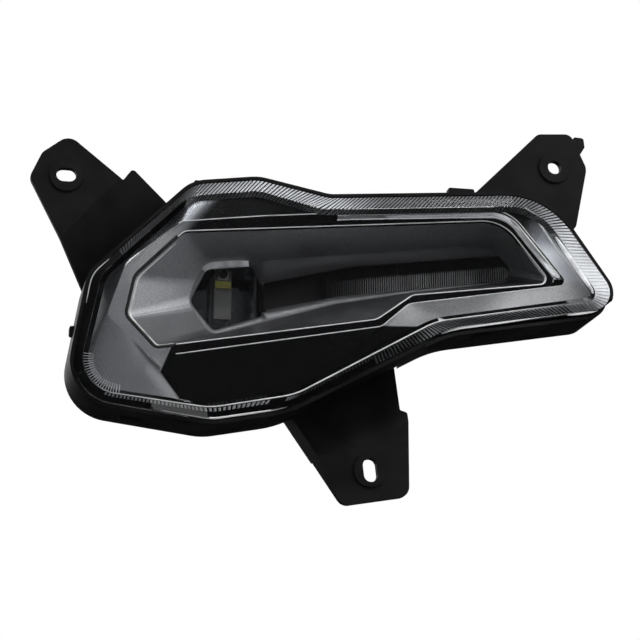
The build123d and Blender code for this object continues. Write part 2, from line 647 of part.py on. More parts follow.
def led_board():
    board = prism(led_board_outline(), LED_BOARD_Y, STEM_Y)
    return board - screw_hole(LED_X, led_screw_z(), LED_BOARD_Y, STEM_Y)


def led_chip():
    outline = rectangle(LED_X, LED_BOARD_TOP - LED_CHIP_DROP, LED_CHIP_WIDTH, LED_CHIP_HEIGHT)
    return prism(outline, LED_BOARD_Y - LED_CHIP_DEPTH, LED_BOARD_Y)


def led_bracket():
    front_y = LED_BOARD_Y - LED_TAB_THICKNESS
    outline = rectangle(LED_X, led_screw_z(), LED_TAB_WIDTH, LED_TAB_HEIGHT, SMALL_CORNER)
    tab = prism(outline, front_y, LED_BOARD_Y)
    return tab - screw_hole(LED_X, led_screw_z(), front_y, LED_BOARD_Y)


def led_bracket_screw():
    length = LED_TAB_THICKNESS + BOARD_THICKNESS + SMALL_SCREW_LENGTH - SCREW_TIP_CLEARANCE
    return screw(LED_X, led_screw_z(), LED_BOARD_Y - LED_TAB_THICKNESS, length, 1)


def stem_outline():
    return offset_outline(led_board_outline(), -STEM_MARGIN)


def bowl_screw_places():
    return [(LED_X + side * BOWL_SCREW_X, SINK_Z) for side in (-1, 1)]


def led_reflector():
    back = offset_outline(BOWL, -BOWL_TAPER)
    bowl = tapered(offset_outline(BOWL, BOWL_WALL), BOWL_Y, offset_outline(back, BOWL_WALL), PLATFORM_Y)
    bowl -= tapered(BOWL, BOWL_Y, back, BOWL_FLOOR_Y)
    bowl -= prism(offset_outline(stem_outline(), STEM_CLEARANCE), BOWL_FLOOR_Y, PLATFORM_Y)
    for x, z in bowl_screw_places():
        bowl -= screw_hole(x, z, BOWL_FLOOR_Y, PLATFORM_Y)
    return bowl


def bowl_screws():
    length = BOWL_WALL + SCREW_LENGTH - SCREW_TIP_CLEARANCE
    return group([screw(x, z, BOWL_FLOOR_Y, length, 1) for x, z in bowl_screw_places()])


# Heat sink


def sink_outline():
    return rectangle(LED_X, SINK_Z, SINK_WIDTH, SINK_HEIGHT, SINK_CORNER)


def heat_sink():
    sink = prism(sink_outline(), SINK_BASE_Y, FIN_Y)
    fin_height = SINK_HEIGHT - 2 * SINK_CORNER
    for index in range(FIN_COUNT):
        x = LED_X - SINK_WIDTH / 2 + FIN_THICKNESS / 2 + index * fin_pitch()
        sink += prism(rectangle(x, SINK_Z, FIN_THICKNESS, fin_height), FIN_Y, FIN_Y + FIN_HEIGHT)
    sink += prism(platform_outline(0), PLATFORM_Y, SINK_BASE_Y)
    sink += prism(stem_outline(), STEM_Y, PLATFORM_Y)
    for x, z in sink_screw_places():
        sink -= rod(x, z, SCREW_HEAD_DIAMETER + 2 * SCREW_CLEARANCE, FIN_Y, FIN_Y + FIN_HEIGHT)
        sink -= screw_hole(x, z, SINK_BASE_Y, FIN_Y)
    for x, z in bowl_screw_places():
        sink -= screw_hole(x, z, PLATFORM_Y, PLATFORM_Y + SCREW_LENGTH)
    return sink - screw_hole(LED_X, led_screw_z(), STEM_Y, STEM_Y + SMALL_SCREW_LENGTH)


def heat_sink_gasket():
    gasket = prism(sink_outline(), REAR_Y, SINK_BASE_Y)
    gasket -= prism(platform_outline(PLATFORM_CLEARANCE), REAR_Y, SINK_BASE_Y)
    for x, z in sink_screw_places():
        gasket -= screw_hole(x, z, REAR_Y, SINK_BASE_Y)
    return gasket


def heat_sink_screws():
    length = SINK_BASE + SINK_GASKET + SCREW_LENGTH - SCREW_TIP_CLEARANCE
    return group([screw(x, z, FIN_Y, length, -1) for x, z in sink_screw_places()])


# Driver board


def driver_board():
    board = prism(rectangle(DRIVER_X, DRIVER_Z, DRIVER_WIDTH, DRIVER_HEIGHT), DRIVER_Y, DRIVER_BACK_Y)
    for x, z in driver_screw_places():
        board -= screw_hole(x, z, DRIVER_Y, DRIVER_BACK_Y)
    for x, z in pin_places():
        hole = PIN_SIZE + SCREW_CLEARANCE
        board -= prism(rectangle(x, z, hole, hole), DRIVER_Y, DRIVER_BACK_Y)
    return board


def driver_parts():
    row_z = DRIVER_Z + DRIVER_HEIGHT / 4
    face_y = DRIVER_BACK_Y
    coil = rod(DRIVER_X - PART_SPACING, row_z, COIL_DIAMETER, face_y, face_y + COIL_HEIGHT)
    chip = prism(rectangle(DRIVER_X, row_z, CHIP_SIZE, CHIP_SIZE), face_y, face_y + CHIP_HEIGHT)
    tall = DRIVER_STANDOFF - PART_CLEARANCE
    capacitor = rod(DRIVER_X + PART_SPACING, row_z, CAPACITOR_DIAMETER, face_y, face_y + tall)
    return group([coil, chip, capacitor])


def driver_board_screws():
    length = BOARD_THICKNESS + SCREW_LENGTH - SCREW_TIP_CLEARANCE
    return group([screw(x, z, DRIVER_Y, length, 1) for x, z in driver_screw_places()])


# Plug socket


def connector_socket():
    shroud = rectangle(DRIVER_X, DRIVER_Z, SOCKET_WIDTH, SOCKET_HEIGHT, SOCKET_CORNER)
    flange = rectangle(DRIVER_X, DRIVER_Z, SOCKET_FLANGE_WIDTH, SOCKET_FLANGE_HEIGHT, SOCKET_CORNER)
    socket = prism(shroud, SOCKET_Y, SOCKET_FLOOR_Y + SOCKET_DEPTH)
    socket += prism(flange, SOCKET_Y, SOCKET_Y + SOCKET_FLANGE)
    socket -= prism(offset_outline(shroud, -SOCKET_WALL), SOCKET_FLOOR_Y, SOCKET_FLOOR_Y + SOCKET_DEPTH)
    for x, z in pin_places():
        socket -= prism(rectangle(x, z, PIN_SIZE, PIN_SIZE), SOCKET_Y, SOCKET_FLOOR_Y)
    for x, z in socket_screw_places():
        socket -= screw_hole(x, z, SOCKET_Y, SOCKET_Y + SOCKET_FLANGE)
    return socket


def connector_pins():
    end_y = SOCKET_FLOOR_Y + PIN_REACH
    return group([prism(rectangle(x, z, PIN_SIZE, PIN_SIZE), DRIVER_Y, end_y) for x, z in pin_places()])


def connector_gasket():
    outline = rectangle(DRIVER_X, DRIVER_Z, SOCKET_FLANGE_WIDTH, SOCKET_FLANGE_HEIGHT, SOCKET_CORNER)
    gasket = prism(outline, REAR_Y, SOCKET_Y) - prism(pin_passage(), REAR_Y, SOCKET_Y)
    for x, z in socket_screw_places():
        gasket -= screw_hole(x, z, REAR_Y, SOCKET_Y)
    return gasket


def connector_screws():
    length = SOCKET_FLANGE + SOCKET_GASKET + SCREW_LENGTH - SCREW_TIP_CLEARANCE
    return group([screw(x, z, SOCKET_Y + SOCKET_FLANGE, length, -1) for x, z in socket_screw_places()])


# Breather


def vent_membrane():
    return rod(VENT_X, VENT_Z, VENT_FILM_DIAMETER, REAR_Y, REAR_Y + VENT_FILM)


def vent_cap():
    top_y = REAR_Y + VENT_CAP_HEIGHT
    cap = rod(VENT_X, VENT_Z, VENT_CAP_DIAMETER, REAR_Y, top_y)
    cap -= rod(VENT_X, VENT_Z, VENT_CAP_DIAMETER - 2 * VENT_CAP_WALL, REAR_Y, top_y - VENT_CAP_WALL)
    for outline in (
        rectangle(VENT_X, VENT_Z, 2 * VENT_CAP_DIAMETER, VENT_NOTCH),
        rectangle(VENT_X, VENT_Z, VENT_NOTCH, 2 * VENT_CAP_DIAMETER),
    ):
        cap -= prism(outline, REAR_Y + VENT_CAP_WALL, top_y - VENT_CAP_WALL)
    return cap


PIECES = {
    "rear_housing": rear_housing,
    "lens_sealant": lens_sealant,
    "outer_lens": outer_lens,
    "front_bezel": front_bezel,
    "accent_strip": accent_strip,
    "pocket_reflector": pocket_reflector,
    "strip_holder": strip_holder,
    "strip_holder_screws": strip_holder_screws,
    "strip_lens": strip_lens,
    "strip_led_board": lambda: strip_outline_part(STRIP_BOARD_Y, TROUGH_FLOOR_Y),
    "strip_leds": strip_leds,
    "led_reflector": led_reflector,
    "bowl_screws": bowl_screws,
    "led_board": led_board,
    "led_chip": led_chip,
    "led_bracket": led_bracket,
    "led_bracket_screw": led_bracket_screw,
    "heat_sink": heat_sink,
    "heat_sink_gasket": heat_sink_gasket,
    "heat_sink_screws": heat_sink_screws,
    "driver_board": driver_board,
    "driver_parts": driver_parts,
    "driver_board_screws": driver_board_screws,
    "connector_socket": connector_socket,
    "connector_pins": connector_pins,
    "connector_gasket": connector_gasket,
    "connector_screws": connector_screws,
    "vent_membrane": vent_membrane,
    "vent_cap": vent_cap,
}

os.makedirs("parts", exist_ok=True)
for name, make in PIECES.items():
    export_step(make(), f"parts/{name}.step")
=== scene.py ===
import json
import math
from collections import namedtuple

import bmesh
import bpy
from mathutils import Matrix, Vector


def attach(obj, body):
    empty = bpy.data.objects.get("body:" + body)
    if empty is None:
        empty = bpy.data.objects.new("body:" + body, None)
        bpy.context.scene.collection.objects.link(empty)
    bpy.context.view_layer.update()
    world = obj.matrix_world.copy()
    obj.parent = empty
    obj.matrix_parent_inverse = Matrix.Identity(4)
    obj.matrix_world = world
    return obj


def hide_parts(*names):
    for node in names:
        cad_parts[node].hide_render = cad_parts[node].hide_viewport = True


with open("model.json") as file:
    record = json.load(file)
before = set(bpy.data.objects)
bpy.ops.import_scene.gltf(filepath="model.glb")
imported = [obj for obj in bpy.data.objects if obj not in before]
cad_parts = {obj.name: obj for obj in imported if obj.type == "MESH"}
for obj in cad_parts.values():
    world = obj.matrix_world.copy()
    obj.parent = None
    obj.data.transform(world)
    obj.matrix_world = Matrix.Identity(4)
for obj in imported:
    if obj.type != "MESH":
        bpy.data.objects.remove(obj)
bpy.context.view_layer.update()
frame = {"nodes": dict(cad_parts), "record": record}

MM = 0.001

# Lens sizes in millimetres, as in the part's source. An outline lists x, z and corner radius.
LENS_FACE_Y = -34.0
LENS_RIM_Y = -29.0
LENS_FOOT_Y = -13.0
LENS_WALL = 2.5
LENS_RIM = [
    (-248.1, -82.0, 16.0), (-198.5, -32.4, 18.0), (-165.5, -27.8, 21.0), (-129.0, -34.8, 20.0),
    (-14.4, -25.2, 40.0), (25.8, -82.8, 10.0), (-66.6, -99.1, 60.0), (-150.6, -145.1, 55.0),
    (-188.0, -152.2, 31.0), (-258.4, -143.0, 21.0),
]
LENS_PLATEAU = [
    (-243.5, -83.0, 15.0), (-201.5, -40.5, 22.0), (-166.5, -35.5, 20.0), (-134.0, -43.0, 25.0),
    (-20.5, -33.5, 30.0), (12.5, -81.5, 5.0), (-75.5, -98.0, 40.0), (-147.5, -139.0, 40.0),
    (-189.5, -147.5, 38.0), (-255.0, -140.5, 18.0),
]
LENS_MIDDLE_Z = -80.0
LENS_STEPS = 1200
SMALLEST_RADIUS = 0.5

# Pale flank of each flute, a painted highlight, in full along the top and right and as a short tooth
# along the bottom.
# A span across the bevel runs from 0 at the rim to 1 at the plateau.
FLUTE_PITCH = 2.0
FLUTE_LEAN = -0.65
FLANK_WIDTH = 1.15
FLANK_DEPTH = 0.4
FLANK_SINK = 0.15
FLANK_SPAN = (0.04, 0.96)
TOOTH_SPAN = (0.66, 0.93)
FLANK_START_X = -214.0
RIGHT_SIDE_SLOPE = 0.8
LEFT_SIDE_SLOPE = 0.7
FAN_PITCH = 1.4
FAN_LENGTH = 5.0
FAN_WIDTH = 0.4
FAN_SPAN = (0.05, 1.0)
FAN_SIDE_X = -233.0
FAN_TOP_Z = -122.0

# Borders inside the lens's bevel: the dark ones are painted shade, the pale one at the right end a
# painted highlight
BORDER_SINK = 0.6
BORDER_THICKNESS = 0.3
LEFT_BORDER_TOP_X = -203.0
LEFT_BORDER_LOW_X = -188.0
LOW_BORDER_SPAN = (-160.0, 8.0)
LOW_BORDER_TOP_Z = -84.0
PALE_BORDER_X = -2.0

# Painted highlights on the bare stretch of the lens's skirt: name, x at both ends, y at both ends and
# width
SKIRT_STREAKS = [
    ("lens_skirt_glint", (-70.0, -18.0), (-26.8, -23.0), 7.0),
    ("lens_skirt_patch", (-4.0, 14.0), (-24.0, -24.0), 8.0),
]
STREAK_HEIGHT = 0.08
STREAK_SWELL = 0.7

# Faceted frame and the funnel behind it
BEZEL_FACE_Y = -26.0
FUNNEL_MOUTH_Y = -23.6
FUNNEL_FLOOR_Y = 0.0
FUNNEL_WALL = 1.6
FUNNEL_FLANGE = 1.5
FUNNEL_RINGS = 14
FUNNEL_STEPS = 420
OPENING_STEPS = 400
FRAME_OUTLINE = [
    (-231.0, -74.0, 10.0), (-204.0, -51.5, 4.0), (-163.0, -46.0, 60.0), (-116.5, -41.0, 60.0),
    (-34.0, -34.0, 20.0), (-2.5, -72.5, 3.0), (-88.0, -87.5, 7.0), (-102.0, -100.0, 7.0),
    (-218.0, -122.0, 3.0), (-240.0, -101.5, 4.0),
]
POCKET_EDGE = [
    (-202.5, -57.0, 6.0), (-38.0, -40.5, 20.0), (-12.8, -72.0, 3.0), (-86.0, -82.3, 8.0),
    (-104.5, -96.0, 8.0), (-215.5, -116.0, 3.0), (-230.0, -101.0, 5.0), (-226.0, -81.0, 10.0),
]
POCKET_FLOOR = [
    (-188.6, -65.5, 10.0), (-37.0, -45.5, 10.0), (-20.0, -64.0, 6.0), (-80.0, -74.0, 20.0),
    (-120.5, -82.5, 20.0), (-184.5, -102.6, 6.0), (-197.0, -86.0, 10.0), (-193.8, -76.0, 30.0),
]
WINDOW = [
    (-195.5, -85.5, 4.0), (-187.2, -68.0, 4.0), (-163.8, -65.0, 2.0), (-159.4, -73.5, 1.0),
    (-158.6, -91.0, 2.0), (-183.5, -100.0, 3.0),
]
STRIP_SLOT = [
    (-157.5, -88.0, 1.0), (-157.5, -73.4, 1.0), (-112.0, -61.8, 30.0), (-32.0, -50.8, 2.0),
    (-24.0, -59.2, 1.5), (-29.0, -64.4, 1.5), (-119.0, -78.4, 30.0),
]
STAKE_PLACES = [(-232.5, -92.0), (-226.0, -110.0), (-17.2, -59.8), (-27.8, -46.8)]
STAKE_HOLE_RADIUS = 1.1
STAKE_EAR_RADIUS = 2.8
STAKE_EAR_STEPS = 32

# Fine lines on the frame and the funnel: the pale ones are painted highlights, the dark one a painted
# shadow
BEAD_STEP = 1.0
BEAD_SINK = 0.05
LINE_WIDTH = 0.55
LINE_HEIGHT = 0.25
LINE_START_X = -206.0
MOUTH_SHADOW_WIDTH = 1.8
END_LINE = [(-25.0, -32.7), (-17.4, -38.2), (-6.0, -56.2), (6.3, -71.3)]
END_LINE_WIDTH = 1.4
END_LINE_HEIGHT = 0.4
ACCENT_CREST_INSET = 2.5
ACCENT_CREST_WIDTH = 0.9
ACCENT_CREST_Y = -28.4
ACCENT_FOOT_INSET = 4.5
ACCENT_FOOT_WIDTH = 0.5
ACCENT_LINE_START_X = -60.0
ACCENT_LINE_END_Z = -69.5
ACCENT_TAPER_STEPS = 45
ACCENT_FORK = [(-9.8, -67.5), (-11.4, -71.6)]
ACCENT_FORK_WIDTH = 0.8
LIP_LINE_BLEND = 0.035
LIP_LINE_WIDTH = 1.2
BROW_WIDTH = 4.8
BROW_HEIGHT = 1.8
BROW_STEPS = 8
BROW_LOW_Z = -68.0
BROW_RIGHT_X = -165.0
BROW_SWELL = 0.5

# Fine lines in the lens, painted highlights
LENS_LINE_SWELL = 0.4
PLATEAU_LINE_SINK = 0.35
EDGE_LINE_WIDTH = 0.6
EDGE_LINE_TOP_Z = -84.0
EDGE_LINE_LEFT_X = -246.0
END_BAND_WIDTH = 3.0
END_BAND_LEFT_X = -12.0
END_BAND_Z = (-79.0, -46.0)
RIM_LINE_SINK = 0.1
RIM_LINE_WIDTH = 1.2
RIM_LINE_SPAN = (-214.0, -150.0)
RIM_LINE_TOP_Z = -120.0
RIM_GLINT_WIDTH = 0.9
RIM_GLINT_RIGHT_X = -238.0
RIM_GLINT_Z = (-97.0, -74.0)
LENS_LINE_HEIGHT = 0.3

# Angles in degrees over which an edge stays sharp
PIECE_SHARP_ANGLE = 30.0
LENS_SHARP_ANGLE = 12.0
FUNNEL_SHARP_ANGLE = 20.0

# Ranges of a noise texture that a drifting value and a fine fleck use
NOISE_SPAN = (0.3, 0.7)
FLECK_SPAN = (0.25, 0.75)

# Where the flutes' painted highlight changes: two places along x or z in metres, and the tones there if
# not 0 and 1
FLUTE_TOP_RISE = (-0.212, -0.168, 0.12, 1.0)
FLUTE_TOP_FALL = (-0.128, -0.1, 1.0, 0.3)
FLUTE_END_RISE = (-0.035, 0.0)
TOOTH_LEFT_RISE = (-0.232, -0.215, 0.75, 1.0)
TOOTH_FALL = (-0.152, -0.144, 1.0, 0.1)
TOOTH_RISE = (-0.09, -0.07)
FLUTE_LOW_FALL = (-0.084, -0.08)
# Tone and cover of the pale border's painted highlight
PALE_BORDER_RISE = (-0.04, -0.078, 0.03, 1.0)
PALE_BORDER_COVER = 0.88

# Edges of the frame's finishes and of its painted highlights and shade, in metres. A slanted edge is a
# slope and a start.
FACET_TURN = (-0.997, -0.992)
LEFT_LOW_EDGE = (0.389, -0.1634)
LEFT_FOOT_EDGE = (-0.803, -0.3168)
LEFT_TOP_EDGE = (0.873, -0.1567)
LEFT_TOP_RISE = (-0.1, -0.08)
LEFT_SOFT_RISE = (-0.1, -0.05)
LEFT_SOFTNESS = (0.001, 0.007)
# Painted highlight on the upper left and painted shade along the top
UPPER_LEFT_RISE = (-0.095, -0.06)
TOP_SHADE_RISE = (-0.062, -0.048)
HIGHLIGHT_STREAK_RISE = (-0.009, -0.002)
HIGHLIGHT_STREAK_FALL = (-0.123, -0.119)
RIGHT_SLANT = -0.6
RIGHT_RISE = (-0.002, 0.022)
# Painted light at the right end's foot
PALE_END_RISE = (-0.045, -0.062)
PALE_END_COVER = 0.95
SATIN_TOP_EDGE = (-0.0755, 0.0923)
SATIN_TOP_RISE = (0.0, 0.0008)
SATIN_LEFT_RISE = (-0.106, -0.1045)
SATIN_FALL = (-0.072, -0.068)
BEZEL_GLOSS = (0.07, 0.26)
SOFT_END_GLOSS = 0.18

# Black bar between the window and the slot, black behind the floor, and painted shade on the funnel's
# up-facing walls and flat floor
BAR_LEFT_RISE = (-0.1605, -0.1595)
BAR_RIGHT_FALL = (-0.1565, -0.156)
BAR_TOP_FALL = (-0.0745, -0.0735)
BAR_FOOT_RISE = (-0.0895, -0.0885)
BEHIND_RISE = (0.0001, 0.0003)
UP_TURN_RISE = (0.05, 0.45)
FLAT_TURN_FALL = (-0.995, -0.97)
SHADE_COVER = 0.82

# Painted highlights on the light bar's ribs, and painted shade above them and to their left, in metres
RIB_PITCH = 0.0012
RIB_WAVE = (-0.3, 0.7)
RIB_SLANT = -0.146
RIB_TOP_FALL = (-0.0525, -0.0505)
RIB_LEFT_RISE = (-0.13, -0.07)

# Screws inside the lamp: the bowl's screws take its mirror finish so they blend in, and the LED
# bracket's screw is black, painted shade
INNER_SCREWS = {"bowl_screws": "mirror", "led_bracket_screw": "trough"}

# Camera at the photograph's place, in metres
CAMERA_PLACE = Vector((-0.33393, -0.96882, -0.35653))
CAMERA_TARGET = Vector((-0.1331, -0.024, -0.09771))
CAMERA_LENS = 112.5
CAMERA_SENSOR = 36.0

# Studio, in metres: a lamp is a name, a place, its two sides and its power in watts
FLOOR_Z = -0.5
FLOOR_REACH = 40.0
FLOOR_SHADE = 0.88
FLOOR_ROUGHNESS = 0.6
LOW_CARD_Z = -0.45
BLACK_CARD_SHADE = 0.01
GREY_CARD_SHADE = 0.05
CARD_ROUGHNESS = 0.9
WORLD_COLOUR = (0.95, 0.97, 1.0)
WORLD_STRENGTH = 0.6
LAMP_TARGET = Vector((-0.12, 0.0, -0.08))
LAMPS = [
    ("right_box", (1.05, -0.95, 0.7), (1.0, 1.0), 10.0),
    ("top_box", (-0.1, -1.05, 1.2), (1.2, 0.7), 14.0),
    ("back_box", (0.5, 1.5, 0.9), (0.9, 0.9), 6.0),
    ("left_box", (-1.0, 0.85, 0.3), (0.5, 0.8), 5.0),
]


# Outlines

Run = namedtuple("Run", "start end centre length")


def corner_arc(before, corner, after):
    """The rounded corner as an arc."""
    here, radius = Vector(corner[:2]), corner[2]
    way_in = (here - Vector(before[:2])).normalized()
    way_out = (Vector(after[:2]) - here).normalized()
    turn = way_in.angle(way_out)
    trim = radius * math.tan(turn / 2)
    inward = (way_out - way_in).normalized()
    centre = here + inward * (radius / math.cos(turn / 2))
    return Run(here - way_in * trim, here + way_out * trim, centre, radius * turn)


def outline_runs(outline):
    """The outline as arcs and straight runs in turn. A straight run has no centre."""
    count = len(outline)
    arcs = [corner_arc(outline[i - 1], outline[i], outline[(i + 1) % count]) for i in range(count)]
    runs = []
    for index, arc in enumerate(arcs):
        next_start = arcs[(index + 1) % count].start
        runs.append(arc)
        runs.append(Run(arc.end, next_start, None, (next_start - arc.end).length))
    return runs


def run_point(run, share):
    """The point at a share of the run's length."""
    if run.centre is None:
        return run.start.lerp(run.end, share)
    first, last = run.start - run.centre, run.end - run.centre
    angle = math.atan2(first.cross(last), first.dot(last)) * share
    turned = Vector((
        first.x * math.cos(angle) - first.y * math.sin(angle),
        first.x * math.sin(angle) + first.y * math.cos(angle),
    ))
    return run.centre + turned


def shifted_outline(outline, distance):
    """The outline moved outwards by distance, or inwards where it is negative."""
    moved = []
    for index, (x, z, radius) in enumerate(outline):
        here = Vector((x, z))
        way_in = (here - Vector(outline[index - 1][:2])).normalized()
        way_out = (Vector(outline[(index + 1) % len(outline)][:2]) - here).normalized()
        normals = Vector((-way_in.y - way_out.y, way_in.x + way_out.x))
        place = here + normals * (distance / (1 + way_in.dot(way_out)))
        convex = way_in.cross(way_out) < 0
        radius = radius + distance if convex else radius - distance
        moved.append((place.x, place.y, max(radius, SMALLEST_RADIUS)))
    return moved


def kept_stretch(points, keep):
    """The one stretch of a closed row of points where keep holds."""
    count = len(points)
    first = next(step for step in range(count) if keep(points[step]) and not keep(points[step - 1]))
    turned = points[first:] + points[:first]
    last = next((step for step in range(count) if not keep(turned[step])), count)
    return turned[:last]


class Loop:
    """One outline, or two with matching corners, read at a place along the first one."""

    def __init__(self, first, second=None):
        self.first = outline_runs(first)
        self.second = outline_runs(second or first)
        self.length = sum(run.length for run in self.first)

    def gap(self, place):
        """The way from the second outline to the first, at one place."""
        return self.point(place, 0.0) - self.point(place, 1.0)

    def point(self, place, blend):
        place %= self.length
        for run, partner in zip(self.first, self.second):
            if place <= run.length:
                break
            place -= run.length
        share = min(place / run.length, 1.0) if run.length else 0.0
        return run_point(run, share).lerp(run_point(partner, share), blend)

    def points(self, count, blend=0.0):
        return [self.point(self.length * step / count, blend) for step in range(count)]

    def stretch(self, keep, blend=0.0):
        """Points a bead's step apart, where keep holds."""
        return kept_stretch(self.points(round(self.length / BEAD_STEP), blend), keep)


def sideways(points, index):
    """Unit vector across a row of points, at one of them."""
    way = points[min(index + 1, len(points) - 1)] - points[max(index - 1, 0)]
    return Vector((-way.y, way.x)).normalized()


def swell(index, count, power):
    """Rises from the first step to the middle one and falls to the last."""
    return math.sin(math.pi * (index + 0.5) / count) ** power


# Pieces


def face_outwards(mesh):
    shape = bmesh.new()
    shape.from_mesh(mesh)
    bmesh.ops.recalc_face_normals(shape, faces=shape.faces)
    shape.to_mesh(mesh)
    shape.free()


def new_piece(name, vertices, faces, material, sharp_angle=PIECE_SHARP_ANGLE):
    mesh = bpy.data.meshes.new(name)
    mesh.from_pydata([Vector(vertex) * MM for vertex in vertices], [], faces)
    face_outwards(mesh)
    mesh.shade_smooth()
    mesh.set_sharp_from_angle(angle=math.radians(sharp_angle))
    piece = bpy.data.objects.new(name, mesh)
    bpy.context.collection.objects.link(piece)
    mesh.materials.append(material)
    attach(piece, "root")
    return piece


def add_bar(vertices, faces, sections):
    """A closed bar through sections that all have the same number of points."""
    size = len(sections[0])
    start = len(vertices)
    for section in sections:
        vertices.extend(section)
    for index in range(len(sections) - 1):
        low = start + index * size
        for corner in range(size):
            after = (corner + 1) % size
            faces.append((low + corner, low + after, low + size + after, low + size + corner))
    faces.append(tuple(range(start, start + size)))
    faces.append(tuple(range(len(vertices) - size, len(vertices))))


def bar_piece(name, sections, material, sharp_angle=PIECE_SHARP_ANGLE):
    vertices, faces = [], []
    add_bar(vertices, faces, sections)
    return new_piece(name, vertices, faces, material, sharp_angle)


def line_sections(points, ys, widths, height):
    """Three-cornered sections of a low ridge through points in x and z."""
    sections = []
    for index, (point, y, width) in enumerate(zip(points, ys, widths)):
        side = sideways(points, index) * (width / 2)
        left, right = point - side, point + side
        foot_y = y + BEAD_SINK
        crest = (point.x, y - height, point.y)
        sections.append([(left.x, foot_y, left.y), crest, (right.x, foot_y, right.y)])
    return sections


def clear_lens(material):
    """The clear lens with smooth corners, as thick as the part's own."""
    outside = Loop(LENS_RIM, LENS_PLATEAU)
    inside = Loop(shifted_outline(LENS_RIM, -LENS_WALL), shifted_outline(LENS_PLATEAU, -LENS_WALL))

    def ring(loop, blend, y):
        return [(spot.x, y, spot.y) for spot in loop.points(LENS_STEPS, blend)]

    rings = [
        ring(outside, 1.0, LENS_FACE_Y), ring(outside, 0.0, LENS_RIM_Y), ring(outside, 0.0, LENS_FOOT_Y),
        ring(inside, 0.0, LENS_FOOT_Y), ring(inside, 0.0, LENS_RIM_Y + LENS_WALL / 2),
        ring(inside, 1.0, LENS_FACE_Y + LENS_WALL),
    ]
    lens = bar_piece("lens_fluted", rings, material, LENS_SHARP_ANGLE)
    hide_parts("outer_lens")


def flank_section(loop, middle, blend, width, y):
    """Three corners across one flank, its tip towards the lens's outside."""
    corners = [(-width / 2, FLANK_DEPTH), (0.0, 0.0), (width / 2, FLANK_DEPTH)]
    section = []
    for shift, depth in corners:
        spot = loop.point(middle + shift, blend)
        section.append((spot.x, y + FLANK_SINK + depth, spot.y))
    return section


def add_flanks(vertices, faces):
    """A flank for each flute of the bevel, but none along most of its left side."""
    bevel = Loop(LENS_RIM, LENS_PLATEAU)
    count = round(bevel.length / FLUTE_PITCH)
    for step in range(count):
        place = bevel.length * step / count
        outward = bevel.gap(place)
        upper = outward.y > 0 or outward.x > abs(outward.y) * RIGHT_SIDE_SLOPE
        left = outward.x < -abs(outward.y) * LEFT_SIDE_SLOPE
        if left and not (upper and bevel.point(place, 0.0).x > FLANK_START_X):
            continue
        sections = []
        for blend in FLANK_SPAN if upper else TOOTH_SPAN:
            y = LENS_RIM_Y + (LENS_FACE_Y - LENS_RIM_Y) * blend
            middle = place + max(outward.y, 0.0) * FLUTE_LEAN * blend
            sections.append(flank_section(bevel, middle, blend, FLANK_WIDTH, y))
        add_bar(vertices, faces, sections)


def add_fan(vertices, faces):
    """Fine pale flanks, painted highlights, that fan out from the lens's lower left corner."""
    fan = Loop(LENS_PLATEAU, shifted_outline(LENS_PLATEAU, -FAN_LENGTH))
    count = round(fan.length / FAN_PITCH)
    for step in range(count):
        place = fan.length * step / count
        spot = fan.point(place, 0.0)
        if spot.x < FAN_SIDE_X and spot.y < FAN_TOP_Z:
            sections = [flank_section(fan, place, blend, FAN_WIDTH, LENS_FACE_Y) for blend in FAN_SPAN]
            add_bar(vertices, faces, sections)


def flute_flanks(material):
    vertices, faces = [], []
    add_flanks(vertices, faces)
    add_fan(vertices, faces)
    new_piece("lens_flute_flanks", vertices, faces, material)


def lens_border(name, keep, material):
    """A strip inside the lens's bevel, where keep holds along the rim."""
    def kept_row(row):
        return keep(row[0])

    bevel = Loop(LENS_RIM, LENS_PLATEAU)
    count = round(bevel.length / BEAD_STEP)
    rows = list(zip(bevel.points(count, 0.0), bevel.points(count, 1.0)))
    rim_y = LENS_RIM_Y + BORDER_SINK
    edge_y = LENS_FACE_Y + BORDER_SINK
    sections = []
    for rim, edge in kept_stretch(rows, kept_row):
        sections.append([
            (rim.x, rim_y, rim.y), (edge.x, edge_y, edge.y),
            (edge.x, edge_y + BORDER_THICKNESS, edge.y), (rim.x, rim_y + BORDER_THICKNESS, rim.y),
        ])
    bar_piece(name, sections, material)


def lens_borders(materials):
    """Dark along the lens's left side and bottom, painted shade, and pale round its right end, a painted
    highlight.
    """
    def left(rim):
        return rim.x < (LEFT_BORDER_TOP_X if rim.y > LENS_MIDDLE_Z else LEFT_BORDER_LOW_X)

    def low(rim):
        return LOW_BORDER_SPAN[0] < rim.x < LOW_BORDER_SPAN[1] and rim.y < LOW_BORDER_TOP_Z

    def right(rim):
        return rim.x > PALE_BORDER_X

    # Dark strips stand in for the shade seen through the bevel: painted shade
    lens_border("lens_border_painted_shade", left, materials["trough"])
    lens_border("lens_border_low_painted_shade", low, materials["trough"])
    lens_border("lens_pale_border", right, materials["pale_border"])


def skirt_streak(name, span, ys, width, material):
    """A pale streak along the bare stretch of the lens's skirt, a painted highlight."""
    def bare(point):
        return span[0] < point.x < span[1] and point.y < LENS_MIDDLE_Z

    points = Loop(LENS_RIM).stretch(bare)
    count = len(points)
    sections = []
    for index, point in enumerate(points):
        outward = sideways(points, index)
        half = width / 2 * swell(index, count, STREAK_SWELL)
        y = ys[0] + (ys[1] - ys[0]) * (index + 0.5) / count
        base, crest = point - outward * BEAD_SINK, point + outward * STREAK_HEIGHT
        sections.append([(base.x, y - half, base.y), (crest.x, y, crest.y), (base.x, y + half, base.y)])
    bar_piece(name, sections, material)


def frame_line(name, outline, keep, width, material, y=BEZEL_FACE_Y, taper_steps=1):
    """A line along an outline on the frame, which may grow from a point at its start."""
    points = Loop(outline).stretch(keep)
    widths = [width * min((step + 1) / taper_steps, 1.0) for step in range(len(points))]
    bar_piece(name, line_sections(points, [y] * len(points), widths, LINE_HEIGHT), material)


